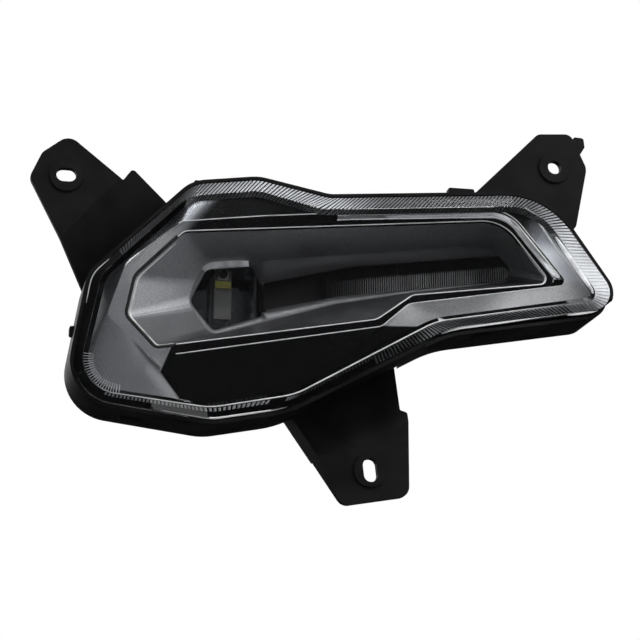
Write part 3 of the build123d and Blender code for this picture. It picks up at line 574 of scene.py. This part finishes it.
def draped_line(name, corners, width, height, material):
    """A bright line, a painted highlight, over the frame and its ridge, through corners in x and z."""
    points = []
    for start, end in zip(corners, corners[1:]):
        start, end = Vector(start), Vector(end)
        count = round((end - start).length / BEAD_STEP)
        points += [start.lerp(end, step / count) for step in range(count)]
    points.append(Vector(corners[-1]))
    bpy.context.view_layer.update()
    carriers = [frame["nodes"][node] for node in ("front_bezel", "accent_strip")]
    backwards = Vector((0.0, 1.0, 0.0))
    ys = []
    for point in points:
        before = Vector((point.x, BEZEL_FACE_Y * 2, point.y)) * MM
        casts = [carrier.ray_cast(before, backwards) for carrier in carriers]
        ys.append(min(place.y for hit, place, _, _ in casts if hit) / MM)
    bar_piece(name, line_sections(points, ys, [width] * len(points), height), material)


def accent_lines(material):
    """The bright crest of the accent ridge, its bright foot and the fork at its end, all painted
    highlights.
    """
    def along(point):
        return point.x > ACCENT_LINE_START_X and point.y > ACCENT_LINE_END_Z

    crest = shifted_outline(FRAME_OUTLINE, -ACCENT_CREST_INSET)
    frame_line(
        "accent_crest_line", crest, along, ACCENT_CREST_WIDTH, material,
        y=ACCENT_CREST_Y, taper_steps=ACCENT_TAPER_STEPS,
    )
    foot = shifted_outline(FRAME_OUTLINE, -ACCENT_FOOT_INSET)
    frame_line(
        "accent_foot_line", foot, along, ACCENT_FOOT_WIDTH, material,
        taper_steps=ACCENT_TAPER_STEPS,
    )
    draped_line("accent_fork_line", ACCENT_FORK, ACCENT_FORK_WIDTH, LINE_HEIGHT, material)


def lip_line(material, keep):
    """The pale lip on the funnel's wall, just behind the left of its mouth, its paleness a painted
    highlight.
    """
    points = Loop(POCKET_EDGE, POCKET_FLOOR).stretch(keep, LIP_LINE_BLEND)
    y = FUNNEL_MOUTH_Y + (FUNNEL_FLOOR_Y - FUNNEL_MOUTH_Y) * LIP_LINE_BLEND
    widths = [LIP_LINE_WIDTH] * len(points)
    sections = line_sections(points, [y] * len(points), widths, LINE_HEIGHT)
    bar_piece("funnel_lip_line", sections, material)


def window_brow(material):
    """The bright rounded brow over the window, its brightness a painted highlight."""
    def over(point):
        return point.y > BROW_LOW_Z and point.x < BROW_RIGHT_X

    points = Loop(shifted_outline(WINDOW, BROW_WIDTH / 2)).stretch(over)
    sections = []
    for index, point in enumerate(points):
        side = sideways(points, index)
        height = BROW_HEIGHT * swell(index, len(points), BROW_SWELL)
        section = []
        for step in range(BROW_STEPS + 1):
            angle = math.pi * step / BROW_STEPS
            spot = point + side * (BROW_WIDTH / 2 * math.cos(angle))
            section.append((spot.x, FUNNEL_FLOOR_Y + BEAD_SINK - height * math.sin(angle), spot.y))
        sections.append(section)
    bar_piece("window_brow", sections, material)


def frame_lines(materials):
    def bright(point):
        return point.x > LINE_START_X

    def dark(point):
        return point.x <= LINE_START_X

    # The pale lines are painted highlights on the frame's edges
    white = materials["rim_white"]
    frame_line("frame_crease_line", FRAME_OUTLINE, bright, LINE_WIDTH, white)
    mouth = shifted_outline(POCKET_EDGE, LINE_WIDTH)
    frame_line("frame_mouth_line", mouth, bright, LINE_WIDTH, white)
    # A dark line along the left of the pocket's mouth, a painted shadow of the gap there
    mouth_shadow = shifted_outline(POCKET_EDGE, MOUTH_SHADOW_WIDTH / 2)
    frame_line("frame_mouth_shadow_line", mouth_shadow, dark, MOUTH_SHADOW_WIDTH, materials["trough"])
    draped_line("frame_end_line", END_LINE, END_LINE_WIDTH, END_LINE_HEIGHT, white)
    accent_lines(white)
    lip_line(materials["pale_lip"], dark)


def lens_line(name, outline, y, keep, width, material):
    """A fine bright line, a painted highlight, just inside an outline of the lens, tapering to both
    ends.
    """
    points = Loop(shifted_outline(outline, -width / 2)).stretch(keep)
    count = len(points)
    widths = [width * swell(step, count, LENS_LINE_SWELL) for step in range(count)]
    sections = line_sections(points, [y] * count, widths, LENS_LINE_HEIGHT)
    bar_piece(name, sections, material)


def lens_lines(materials):
    def end(point):
        return point.x > END_BAND_LEFT_X and END_BAND_Z[0] < point.y < END_BAND_Z[1]

    def under(point):
        return point.y < EDGE_LINE_TOP_Z and point.x > EDGE_LINE_LEFT_X

    def low(point):
        return RIM_LINE_SPAN[0] < point.x < RIM_LINE_SPAN[1] and point.y < RIM_LINE_TOP_Z

    def side(point):
        return point.x < RIM_GLINT_RIGHT_X and RIM_GLINT_Z[0] < point.y < RIM_GLINT_Z[1]

    # The pale lines and the end band are painted highlights on the lens's edges
    white = materials["rim_white"]
    plateau_y = LENS_FACE_Y + PLATEAU_LINE_SINK
    rim_y = LENS_RIM_Y + RIM_LINE_SINK
    lens_line("lens_end_band", LENS_PLATEAU, plateau_y, end, END_BAND_WIDTH, materials["brow"])
    lens_line("lens_edge_line", LENS_PLATEAU, plateau_y, under, EDGE_LINE_WIDTH, white)
    lens_line("lens_rim_line", LENS_RIM, rim_y, low, RIM_LINE_WIDTH, white)
    lens_line("lens_rim_glint", LENS_RIM, rim_y, side, RIM_GLINT_WIDTH, white)


def fill_floor(shape, outlines):
    """Flat faces between the first loop of vertices and the others, which stay open."""
    edges = []
    for loop in outlines:
        for index, vertex in enumerate(loop):
            pair = (vertex, loop[(index + 1) % len(loop)])
            edges.append(shape.edges.get(pair) or shape.edges.new(pair))
    bmesh.ops.triangle_fill(shape, use_beauty=True, use_dissolve=False, edges=edges)


def join_rings(shape, upper, lower):
    for step in range(len(upper)):
        shape.faces.new((upper[step], upper[step - 1], lower[step - 1], lower[step]))


def stake_ear(shape, x, z):
    """A flat ring round one stake's hole."""
    rings = []
    for radius in (STAKE_HOLE_RADIUS, STAKE_EAR_RADIUS):
        ring = []
        for step in range(STAKE_EAR_STEPS):
            turn = math.tau * step / STAKE_EAR_STEPS
            ring_x = x + radius * math.cos(turn)
            ring_z = z + radius * math.sin(turn)
            ring.append(shape.verts.new((ring_x * MM, FUNNEL_MOUTH_Y * MM, ring_z * MM)))
        rings.append(ring)
    join_rings(shape, *rings)


def funnel_mesh():
    """The funnel's front faces, with its flange and stake ears."""
    wall = Loop(POCKET_EDGE, POCKET_FLOOR)
    flange = Loop(shifted_outline(POCKET_EDGE, FUNNEL_FLANGE), POCKET_EDGE)
    shape = bmesh.new()

    def ring(loop, blend, y, count):
        spots = loop.points(count, blend)
        return [shape.verts.new((spot.x * MM, y * MM, spot.y * MM)) for spot in spots]

    rings = [ring(flange, 0.0, FUNNEL_MOUTH_Y, FUNNEL_STEPS)]
    for step in range(FUNNEL_RINGS + 1):
        blend = step / FUNNEL_RINGS
        y = FUNNEL_MOUTH_Y + (FUNNEL_FLOOR_Y - FUNNEL_MOUTH_Y) * blend
        rings.append(ring(wall, blend, y, FUNNEL_STEPS))
    for upper, lower in zip(rings, rings[1:]):
        join_rings(shape, upper, lower)
    openings = [ring(Loop(hole), 0.0, FUNNEL_FLOOR_Y, OPENING_STEPS) for hole in (WINDOW, STRIP_SLOT)]
    fill_floor(shape, [rings[-1], *openings])
    for x, z in STAKE_PLACES:
        stake_ear(shape, x, z)
    shape.normal_update()
    for face in shape.faces:
        if face.normal.y > 0:
            face.normal_flip()
    mesh = bpy.data.meshes.new("funnel_smooth")
    shape.to_mesh(mesh)
    shape.free()
    return mesh


def smooth_funnel(material):
    """The satin funnel with soft corners in its wall."""
    mesh = funnel_mesh()
    mesh.shade_smooth()
    mesh.set_sharp_from_angle(angle=math.radians(FUNNEL_SHARP_ANGLE))
    mesh.materials.append(material)
    funnel = bpy.data.objects.new("funnel_smooth", mesh)
    bpy.context.collection.objects.link(funnel)
    thick = funnel.modifiers.new("wall", "SOLIDIFY")
    thick.thickness = FUNNEL_WALL * MM
    thick.offset = -1.0
    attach(funnel, "root")
    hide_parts("pocket_reflector")


# Materials

# Colour sockets of Blender's Mix node, by number
MIX_FACTOR = 0
MIX_FIRST = 6
MIX_SECOND = 7
MIX_RESULT = 2


def opaque(colour):
    """A colour that is written out, with full cover. A socket stays as it is."""
    return colour if isinstance(colour, bpy.types.NodeSocket) else (*colour, 1.0)


class Paint:
    """A material whose Principled shader is painted by the object's own coordinates, in metres."""

    def __init__(self, name, colour, roughness, **settings):
        self.material = bpy.data.materials.new(name)
        self.material.use_nodes = True
        self.tree = self.material.node_tree
        self.shader = self.tree.nodes["Principled BSDF"]
        self.colour = colour
        self.shader.inputs["Base Color"].default_value = opaque(colour)
        self.shader.inputs["Roughness"].default_value = roughness
        for socket, value in settings.items():
            self.shader.inputs[socket.replace("_", " ")].default_value = value
        self.place = self.node("ShaderNodeTexCoord").outputs["Object"]

    def node(self, kind, inputs=None, **settings):
        made = self.tree.nodes.new(kind)
        for key, value in settings.items():
            setattr(made, key, value)
        for key, value in (inputs or {}).items():
            if isinstance(value, bpy.types.NodeSocket):
                self.tree.links.new(value, made.inputs[key])
            else:
                made.inputs[key].default_value = value
        return made

    def put(self, socket, source):
        self.tree.links.new(source, self.shader.inputs[socket])

    def axes(self):
        """The place's x, y and z."""
        return self.node("ShaderNodeSeparateXYZ", {0: self.place}).outputs

    def turn(self):
        """The x, y and z of the face's own normal."""
        normal = self.node("ShaderNodeNewGeometry").outputs["True Normal"]
        return self.node("ShaderNodeSeparateXYZ", {0: normal}).outputs

    def maths(self, operation, *values):
        return self.node("ShaderNodeMath", dict(enumerate(values)), operation=operation).outputs[0]

    def plus(self, first, second):
        return self.maths("ADD", first, second)

    def minus(self, first, second):
        return self.maths("SUBTRACT", first, second)

    def times(self, first, second):
        return self.maths("MULTIPLY", first, second)

    def larger(self, first, second):
        return self.maths("MAXIMUM", first, second)

    def line(self, value, slope, start):
        return self.maths("MULTIPLY_ADD", value, slope, start)

    def between(self, factor, first, second):
        """First where factor is 0 and second where it is 1, for numbers."""
        return self.plus(first, self.times(factor, self.minus(second, first)))

    def span(self, value, low, high, to_low=0.0, to_high=1.0):
        """Goes smoothly from to_low to to_high as value goes from low to high."""
        inputs = {"Value": value, "From Min": low, "From Max": high, "To Min": to_low, "To Max": to_high}
        made = self.node("ShaderNodeMapRange", inputs, interpolation_type="SMOOTHSTEP")
        return made.outputs["Result"]

    def fall(self, value, low, high):
        return self.span(value, low, high, 1.0, 0.0)

    def blend(self, factor, first, second):
        """First where factor is 0 and second where it is 1, for colours."""
        inputs = {MIX_FACTOR: factor, MIX_FIRST: opaque(first), MIX_SECOND: opaque(second)}
        return self.node("ShaderNodeMix", inputs, data_type="RGBA").outputs[MIX_RESULT]

    def noise(self, scale, detail, stretch=(1.0, 1.0, 1.0)):
        spot = self.node("ShaderNodeMapping", {"Vector": self.place, "Scale": stretch}).outputs[0]
        inputs = {"Vector": spot, "Scale": scale, "Detail": detail}
        return self.node("ShaderNodeTexNoise", inputs).outputs[0]

    def drift(self, scale, low=0.0, high=1.0, detail=4.0):
        """A value that drifts between two others over the surface."""
        return self.span(self.noise(scale, detail), *NOISE_SPAN, low, high)

    def mottle(self, scale, amount):
        """Colour that drifts darker and lighter round the material's own."""
        dark = [part * (1 - amount) for part in self.colour]
        light = [min(part * (1 + amount), 1.0) for part in self.colour]
        self.put("Base Color", self.blend(self.drift(scale), dark, light))
        return self

    def sheen_spots(self, scale, low, high):
        """Roughness that drifts between two values."""
        self.put("Roughness", self.drift(scale, low, high))
        return self

    def grain(self, scale, depth_mm, strength=0.5, stretch=(1.0, 1.0, 1.0)):
        height = self.noise(scale, 2.0, stretch)
        inputs = {"Height": height, "Distance": depth_mm * MM, "Strength": strength}
        self.put("Normal", self.node("ShaderNodeBump", inputs).outputs[0])
        return self


def clear_paint():
    """Clear plastic that lets the lamps' light through."""
    paint = Paint("clear_polycarbonate", (0.97, 0.98, 0.985), 0.02, Transmission_Weight=1.0, IOR=1.55)
    paint.sheen_spots(40.0, 0.01, 0.04)
    path = paint.node("ShaderNodeLightPath")
    through = paint.node("ShaderNodeBsdfTransparent")
    both = paint.node("ShaderNodeMixShader", {
        0: path.outputs["Is Shadow Ray"], 1: paint.shader.outputs[0], 2: through.outputs[0],
    })
    paint.tree.links.new(both.outputs[0], paint.tree.nodes["Material Output"].inputs["Surface"])
    return paint


def flute_highlight_paint():
    """Half see-through, with a painted highlight and painted shade in a tone that changes along the
    lens.
    """
    paint = Paint("flute_painted_highlight", (0.85, 0.87, 0.9), 0.35, Alpha=0.7)
    x, _, z = paint.axes()
    middle = paint.larger(paint.span(x, *FLUTE_TOP_FALL), paint.span(x, *FLUTE_END_RISE))
    top = paint.times(paint.span(x, *FLUTE_TOP_RISE), middle)
    low = paint.larger(paint.span(x, *TOOTH_FALL), paint.span(x, *TOOTH_RISE))
    low = paint.times(low, paint.span(x, *TOOTH_LEFT_RISE))
    # Painted light: the flanks are pale where the flutes catch light and dark where they lie in shade
    tone_and_painted_light = paint.between(paint.fall(z, *FLUTE_LOW_FALL), top, low)
    tone_and_painted_light = paint.times(tone_and_painted_light, paint.drift(80.0, 0.8, 1.0))
    paint.put("Base Color", paint.blend(tone_and_painted_light, (0.02, 0.02, 0.022), paint.colour))
    return paint.sheen_spots(60.0, 0.25, 0.5)


def pale_border_paint():
    """Pale, a painted highlight that grows paler towards the lower end of the lens."""
    paint = Paint("border_painted_highlight", (0.8, 0.81, 0.83), 0.35)
    z = paint.axes()[2]
    tone_and_painted_light = paint.times(paint.span(z, *PALE_BORDER_RISE), paint.drift(80.0, 0.85, 1.0))
    paint.put("Base Color", paint.blend(tone_and_painted_light, (0.4, 0.41, 0.43), paint.colour))
    paint.put("Alpha", paint.times(tone_and_painted_light, PALE_BORDER_COVER))
    return paint.sheen_spots(60.0, 0.25, 0.5)


def bezel_paint():
    """Gloss black between two metallised ends, with a satin facet at the lower right, and painted
    highlights and shade on the ends.
    """
    paint = Paint("bezel_two_tone", (0.003, 0.003, 0.0035), 0.12, Specular_IOR_Level=0.03)
    x, _, z = paint.axes()
    facet = paint.span(paint.turn()[1], *FACET_TURN)

    # Left end, and the bright streak along its lower edge, a painted highlight
    low_border = paint.larger(paint.line(z, *LEFT_LOW_EDGE), paint.line(z, *LEFT_FOOT_EDGE))
    border = paint.between(paint.span(z, *LEFT_TOP_RISE), low_border, paint.line(z, *LEFT_TOP_EDGE))
    past = paint.minus(x, border)
    softness = paint.span(z, *LEFT_SOFT_RISE, *LEFT_SOFTNESS)
    left = paint.fall(paint.maths("DIVIDE", past, softness), -1.0, 1.0)
    highlight_streak = paint.times(paint.span(past, *HIGHLIGHT_STREAK_RISE), paint.fall(z, *HIGHLIGHT_STREAK_FALL))
    highlight_streak = paint.times(highlight_streak, left)

    # Right end, paler towards its foot as painted light, and the satin facet
    right = paint.times(paint.span(paint.line(z, RIGHT_SLANT, x), *RIGHT_RISE), facet)
    pale_end = paint.span(z, *PALE_END_RISE)
    above = paint.plus(z, paint.line(x, *SATIN_TOP_EDGE))
    satin = paint.times(paint.span(above, *SATIN_TOP_RISE), paint.span(x, *SATIN_LEFT_RISE))
    satin = paint.times(satin, paint.times(facet, paint.fall(z, *SATIN_FALL)))

    metal = paint.larger(paint.larger(left, right), satin)
    # The right end's foot goes from metal to pale diffuse colour, painted light
    paint.put("Metallic", paint.minus(metal, paint.times(right, paint.times(pale_end, PALE_END_COVER))))
    haze = paint.drift(60.0, detail=3.0)
    bright = paint.blend(haze, (0.64, 0.65, 0.68), (0.74, 0.75, 0.78))
    # Painted highlight on the left end's upper part and painted shade along its top
    bright = paint.blend(paint.span(z, *UPPER_LEFT_RISE), bright, (0.97, 0.97, 1.0))
    bright = paint.blend(paint.span(z, *TOP_SHADE_RISE), bright, (0.36, 0.37, 0.4))
    # The right end goes from dark at its top to pale at its foot: painted shade and painted light
    pale_tone = paint.times(pale_end, paint.span(haze, 0.0, 1.0, 0.85, 1.0))
    bluish = paint.blend(pale_tone, (0.12, 0.13, 0.15), (0.86, 0.88, 0.94))
    grey = paint.blend(paint.drift(1500.0, detail=2.0), (0.64, 0.64, 0.65), (0.82, 0.82, 0.83))
    tone_and_painted_light = paint.blend(satin, paint.blend(right, bright, bluish), grey)
    tone_and_painted_light = paint.blend(highlight_streak, tone_and_painted_light, (0.95, 0.95, 0.97))
    paint.put("Base Color", paint.blend(metal, paint.colour, tone_and_painted_light))
    gloss = paint.span(metal, 0.0, 1.0, *BEZEL_GLOSS)
    soft_end = paint.times(paint.larger(satin, right), SOFT_END_GLOSS)
    paint.put("Roughness", paint.plus(gloss, soft_end))
    return paint


def pocket_paint():
    """Satin metal with a fine fleck and painted shade, black on the bar between the window and the slot.
    """
    paint = Paint("satin_funnel", (0.42, 0.43, 0.45), 0.34, Metallic=1.0)
    x, y, z = paint.axes()
    turn = paint.turn()
    fleck = paint.span(paint.noise(1300.0, 2.0), *FLECK_SPAN)
    satin = paint.blend(fleck, (0.36, 0.365, 0.38), (0.48, 0.485, 0.5))
    bar = paint.times(paint.span(x, *BAR_LEFT_RISE), paint.fall(x, *BAR_RIGHT_FALL))
    bar = paint.times(bar, paint.fall(z, *BAR_TOP_FALL))
    bar = paint.times(bar, paint.span(z, *BAR_FOOT_RISE))
    # Black behind the floor, on the window's edge wall: painted shade
    bar = paint.larger(bar, paint.span(y, *BEHIND_RISE))
    # Up-facing walls and the flat floor made darker: painted shade
    shade = paint.larger(paint.span(turn[2], *UP_TURN_RISE), paint.fall(turn[1], *FLAT_TURN_FALL))
    satin = paint.blend(paint.times(shade, SHADE_COVER), satin, (0.05, 0.05, 0.053))
    paint.put("Base Color", paint.blend(bar, satin, (0.004, 0.004, 0.004)))
    return paint.sheen_spots(70.0, 0.44, 0.54).grain(2200.0, 0.02, 0.4)


def bar_paint():
    """Dark ribbed bar with painted highlights on its ribs, clearer towards its right end, and painted
    shade above them.
    """
    paint = Paint("ribbed_bar", (0.01, 0.01, 0.011), 0.2)
    x, _, z = paint.axes()
    rib_highlight = paint.blend(paint.drift(90.0, detail=3.0), (0.42, 0.42, 0.43), (0.55, 0.55, 0.56))
    ribs = paint.span(paint.maths("SINE", paint.times(x, math.tau / RIB_PITCH)), *RIB_WAVE)
    # Pale rib stripes are painted highlights; black above them and to the left is painted shade
    low = paint.fall(paint.line(x, RIB_SLANT, z), *RIB_TOP_FALL)
    lit_ribs = paint.times(paint.times(ribs, low), paint.span(x, *RIB_LEFT_RISE))
    paint.put("Base Color", paint.blend(lit_ribs, (0.004, 0.004, 0.0045), rib_highlight))
    return paint.sheen_spots(90.0, 0.16, 0.28)


def plastic_paints():
    housing = Paint("housing_plastic", (0.0045, 0.0045, 0.005), 0.5, Specular_IOR_Level=0.1)
    sealant = Paint("sealing_bead", (0.012, 0.012, 0.012), 0.6)
    trough = Paint("trough_plastic", (0.005, 0.005, 0.006), 0.5, Specular_IOR_Level=0.2)
    board = Paint("solder_mask", (0.02, 0.08, 0.045), 0.35)
    # The phosphor and the pale board are written far darker than their own colours: painted shade inside
    # the lamp
    source = Paint("phosphor", (0.25, 0.235, 0.045), 0.35)
    led_board = Paint("pale_board", (0.07, 0.07, 0.068), 0.5)
    gasket = Paint("gasket_sheet", (0.018, 0.018, 0.018), 0.7)
    board_parts = Paint("moulded_packages", (0.03, 0.03, 0.033), 0.4)
    socket = Paint("socket_plastic", (0.012, 0.012, 0.013), 0.45, Specular_IOR_Level=0.3)
    membrane = Paint("breather_film", (0.7, 0.7, 0.7), 0.8)
    return {
        "housing": housing.mottle(60.0, 0.35).sheen_spots(90.0, 0.46, 0.58).grain(2600.0, 0.06),
        "sealant": sealant.mottle(120.0, 0.3).grain(900.0, 0.05),
        "trough": trough.mottle(90.0, 0.3).grain(2400.0, 0.03),
        "circuit_board": board.mottle(300.0, 0.25).grain(1500.0, 0.03),
        "light_source": source.mottle(400.0, 0.12).grain(3000.0, 0.02),
        "led_board": led_board.mottle(300.0, 0.08).grain(2500.0, 0.02),
        "gasket": gasket.mottle(200.0, 0.25).grain(1800.0, 0.05),
        "board_parts": board_parts.mottle(250.0, 0.2).grain(2000.0, 0.03),
        "socket": socket.mottle(80.0, 0.3).grain(2200.0, 0.05),
        "membrane": membrane.mottle(500.0, 0.08).grain(4000.0, 0.05),
    }


def metal_paints():
    accent = Paint("bright_ridge", (0.88, 0.89, 0.92), 0.1, Metallic=1.0)
    # The bowl is written far darker than a mirror's own colour: painted shade in the deep window
    mirror = Paint("mirror_bowl", (0.33, 0.34, 0.36), 0.06, Metallic=1.0)
    bracket = Paint("pressed_sheet", (0.5, 0.5, 0.5), 0.35, Metallic=1.0)
    screws = Paint("zinc_plate", (0.5, 0.5, 0.51), 0.35, Metallic=1.0)
    heat_sink = Paint("cast_aluminium", (0.55, 0.56, 0.57), 0.45, Metallic=1.0)
    pins = Paint("plated_blades", (0.7, 0.58, 0.32), 0.25, Metallic=1.0)
    return {
        "accent": accent.mottle(50.0, 0.06).sheen_spots(80.0, 0.06, 0.14),
        "mirror": mirror.mottle(60.0, 0.1).sheen_spots(60.0, 0.04, 0.1),
        "bracket": bracket.mottle(200.0, 0.1).grain(1500.0, 0.02, 0.4, (1.0, 1.0, 8.0)),
        "screws": screws.mottle(300.0, 0.12).sheen_spots(400.0, 0.28, 0.45),
        "heat_sink": heat_sink.mottle(120.0, 0.12).sheen_spots(150.0, 0.38, 0.55).grain(1200.0, 0.08),
        "pins": pins.mottle(400.0, 0.1).sheen_spots(500.0, 0.2, 0.32),
    }


def trim_paints():
    """Finishes of the fine lines and borders, whose pale colours are painted highlights."""
    pale_lip = Paint("pale_lip", (0.62, 0.61, 0.6), 0.3)
    brow = Paint("bright_brow", (0.7, 0.71, 0.73), 0.3)
    # A pale white for painted highlights
    rim_white = Paint("edge_painted_highlight", (0.9, 0.9, 0.9), 0.3)
    return {
        "flute_highlight": flute_highlight_paint(),
        "pale_border": pale_border_paint(),
        "pale_lip": pale_lip.mottle(60.0, 0.6).sheen_spots(90.0, 0.2, 0.4),
        "brow": brow.mottle(150.0, 0.25).sheen_spots(120.0, 0.2, 0.4),
        "rim_white": rim_white.mottle(90.0, 0.1).sheen_spots(90.0, 0.2, 0.4),
    }


def make_materials():
    paints = {
        "clear_lens": clear_paint(),
        "bezel": bezel_paint(),
        "pocket": pocket_paint(),
        "light_bar": bar_paint(),
        **plastic_paints(),
        **metal_paints(),
        **trim_paints(),
    }
    return {slot: paint.material for slot, paint in paints.items()}


def dress_nodes(materials):
    for entry in frame["record"]["subparts"]:
        node = frame["nodes"][entry["node"]]
        node.data.materials.clear()
        node.data.materials.append(materials[INNER_SCREWS.get(entry["node"], entry["material_slot"])])


# Stage


def white_when_seen(tree, plain, output):
    """White to the camera and in gloss and glass, plain to all other light."""
    path = tree.nodes.new("ShaderNodeLightPath")
    seen = path.outputs["Is Camera Ray"]
    for name in ("Is Glossy Ray", "Is Transmission Ray"):
        either = tree.nodes.new("ShaderNodeMath")
        either.operation = "MAXIMUM"
        tree.links.new(seen, either.inputs[0])
        tree.links.new(path.outputs[name], either.inputs[1])
        seen = either.outputs[0]
    white = tree.nodes.new("ShaderNodeBackground")
    white.inputs["Color"].default_value = (1.0, 1.0, 1.0, 1.0)
    mix = tree.nodes.new("ShaderNodeMixShader")
    tree.links.new(seen, mix.inputs[0])
    tree.links.new(plain.outputs[0], mix.inputs[1])
    tree.links.new(white.outputs[0], mix.inputs[2])
    tree.links.new(mix.outputs[0], output.inputs["Surface"])


def make_world():
    world = bpy.data.worlds.new("studio")
    world.use_nodes = True
    bpy.context.scene.world = world
    plain = world.node_tree.nodes["Background"]
    plain.inputs["Color"].default_value = opaque(WORLD_COLOUR)
    plain.inputs["Strength"].default_value = WORLD_STRENGTH
    white_when_seen(world.node_tree, plain, world.node_tree.nodes["World Output"])


def level_corners(xs, ys, z):
    return [(xs[0], ys[0], z), (xs[1], ys[0], z), (xs[1], ys[1], z), (xs[0], ys[1], z)]


def upright_corners(start, end, zs):
    return [(*start, zs[0]), (*end, zs[0]), (*end, zs[1]), (*start, zs[1])]


def stage_sheet(name, corners, shade, roughness):
    mesh = bpy.data.meshes.new(name)
    mesh.from_pydata(corners, [], [(0, 1, 2, 3)])
    sheet = bpy.data.objects.new(name, mesh)
    bpy.context.collection.objects.link(sheet)
    paint = Paint(name + "_paint", (shade, shade, shade), roughness, Specular_IOR_Level=0.0)
    paint.mottle(3.0, 0.02)
    mesh.materials.append(paint.material)
    return sheet


def dark_card(name, corners, shade=BLACK_CARD_SHADE):
    """A dark card that only gloss and glass see."""
    card = stage_sheet(name, corners, shade, CARD_ROUGHNESS)
    card.visible_camera = False
    card.visible_diffuse = False
    card.visible_shadow = False


def make_stage():
    reach = (-FLOOR_REACH, FLOOR_REACH)
    stage_sheet("floor", level_corners(reach, reach, FLOOR_Z), FLOOR_SHADE, FLOOR_ROUGHNESS)
    dark_card("front_card", upright_corners((-3.0, -2.4), (2.0, -2.4), (FLOOR_Z, 5.0)), GREY_CARD_SHADE)
    dark_card("left_card", upright_corners((-2.2, 1.5), (-2.2, -2.4), (FLOOR_Z, 3.0)))
    dark_card("far_card", upright_corners((-2.5, 2.2), (2.5, 2.2), (FLOOR_Z, 0.25)))
    dark_card("low_card", level_corners((-1.8, 1.4), (-1.4, -0.28), LOW_CARD_Z))
    dark_card("gap_card", level_corners((-0.15, 1.4), (-0.28, -0.02), LOW_CARD_Z))
    dark_card("back_card", level_corners((-1.8, 1.4), (-0.02, 1.8), LOW_CARD_Z))
    dark_card("top_card", level_corners((-3.0, 3.0), (-0.6, 3.0), 2.2), GREY_CARD_SHADE)


def make_lamps():
    for name, place, sides, power in LAMPS:
        light = bpy.data.lights.new(name, "AREA")
        light.shape = "RECTANGLE"
        light.size, light.size_y = sides
        light.energy = power
        lamp = bpy.data.objects.new(name, light)
        bpy.context.collection.objects.link(lamp)
        lamp.location = place
        lamp.rotation_euler = (LAMP_TARGET - Vector(place)).to_track_quat("-Z", "Y").to_euler()


def make_camera():
    data = bpy.data.cameras.new("camera")
    data.lens = CAMERA_LENS
    data.sensor_width = CAMERA_SENSOR
    camera = bpy.data.objects.new("camera", data)
    bpy.context.collection.objects.link(camera)
    camera.location = CAMERA_PLACE
    camera.rotation_euler = (CAMERA_TARGET - CAMERA_PLACE).to_track_quat("-Z", "Y").to_euler()
    bpy.context.scene.camera = camera


materials = make_materials()
dress_nodes(materials)
clear_lens(materials["clear_lens"])
flute_flanks(materials["flute_highlight"])
lens_borders(materials)
for highlight_streak in SKIRT_STREAKS:
    skirt_streak(*highlight_streak, materials["rim_white"])
smooth_funnel(materials["pocket"])
frame_lines(materials)
lens_lines(materials)
window_brow(materials["brow"])
make_world()
make_stage()
make_lamps()
make_camera()
bpy.context.scene.view_settings.view_transform = "Standard"
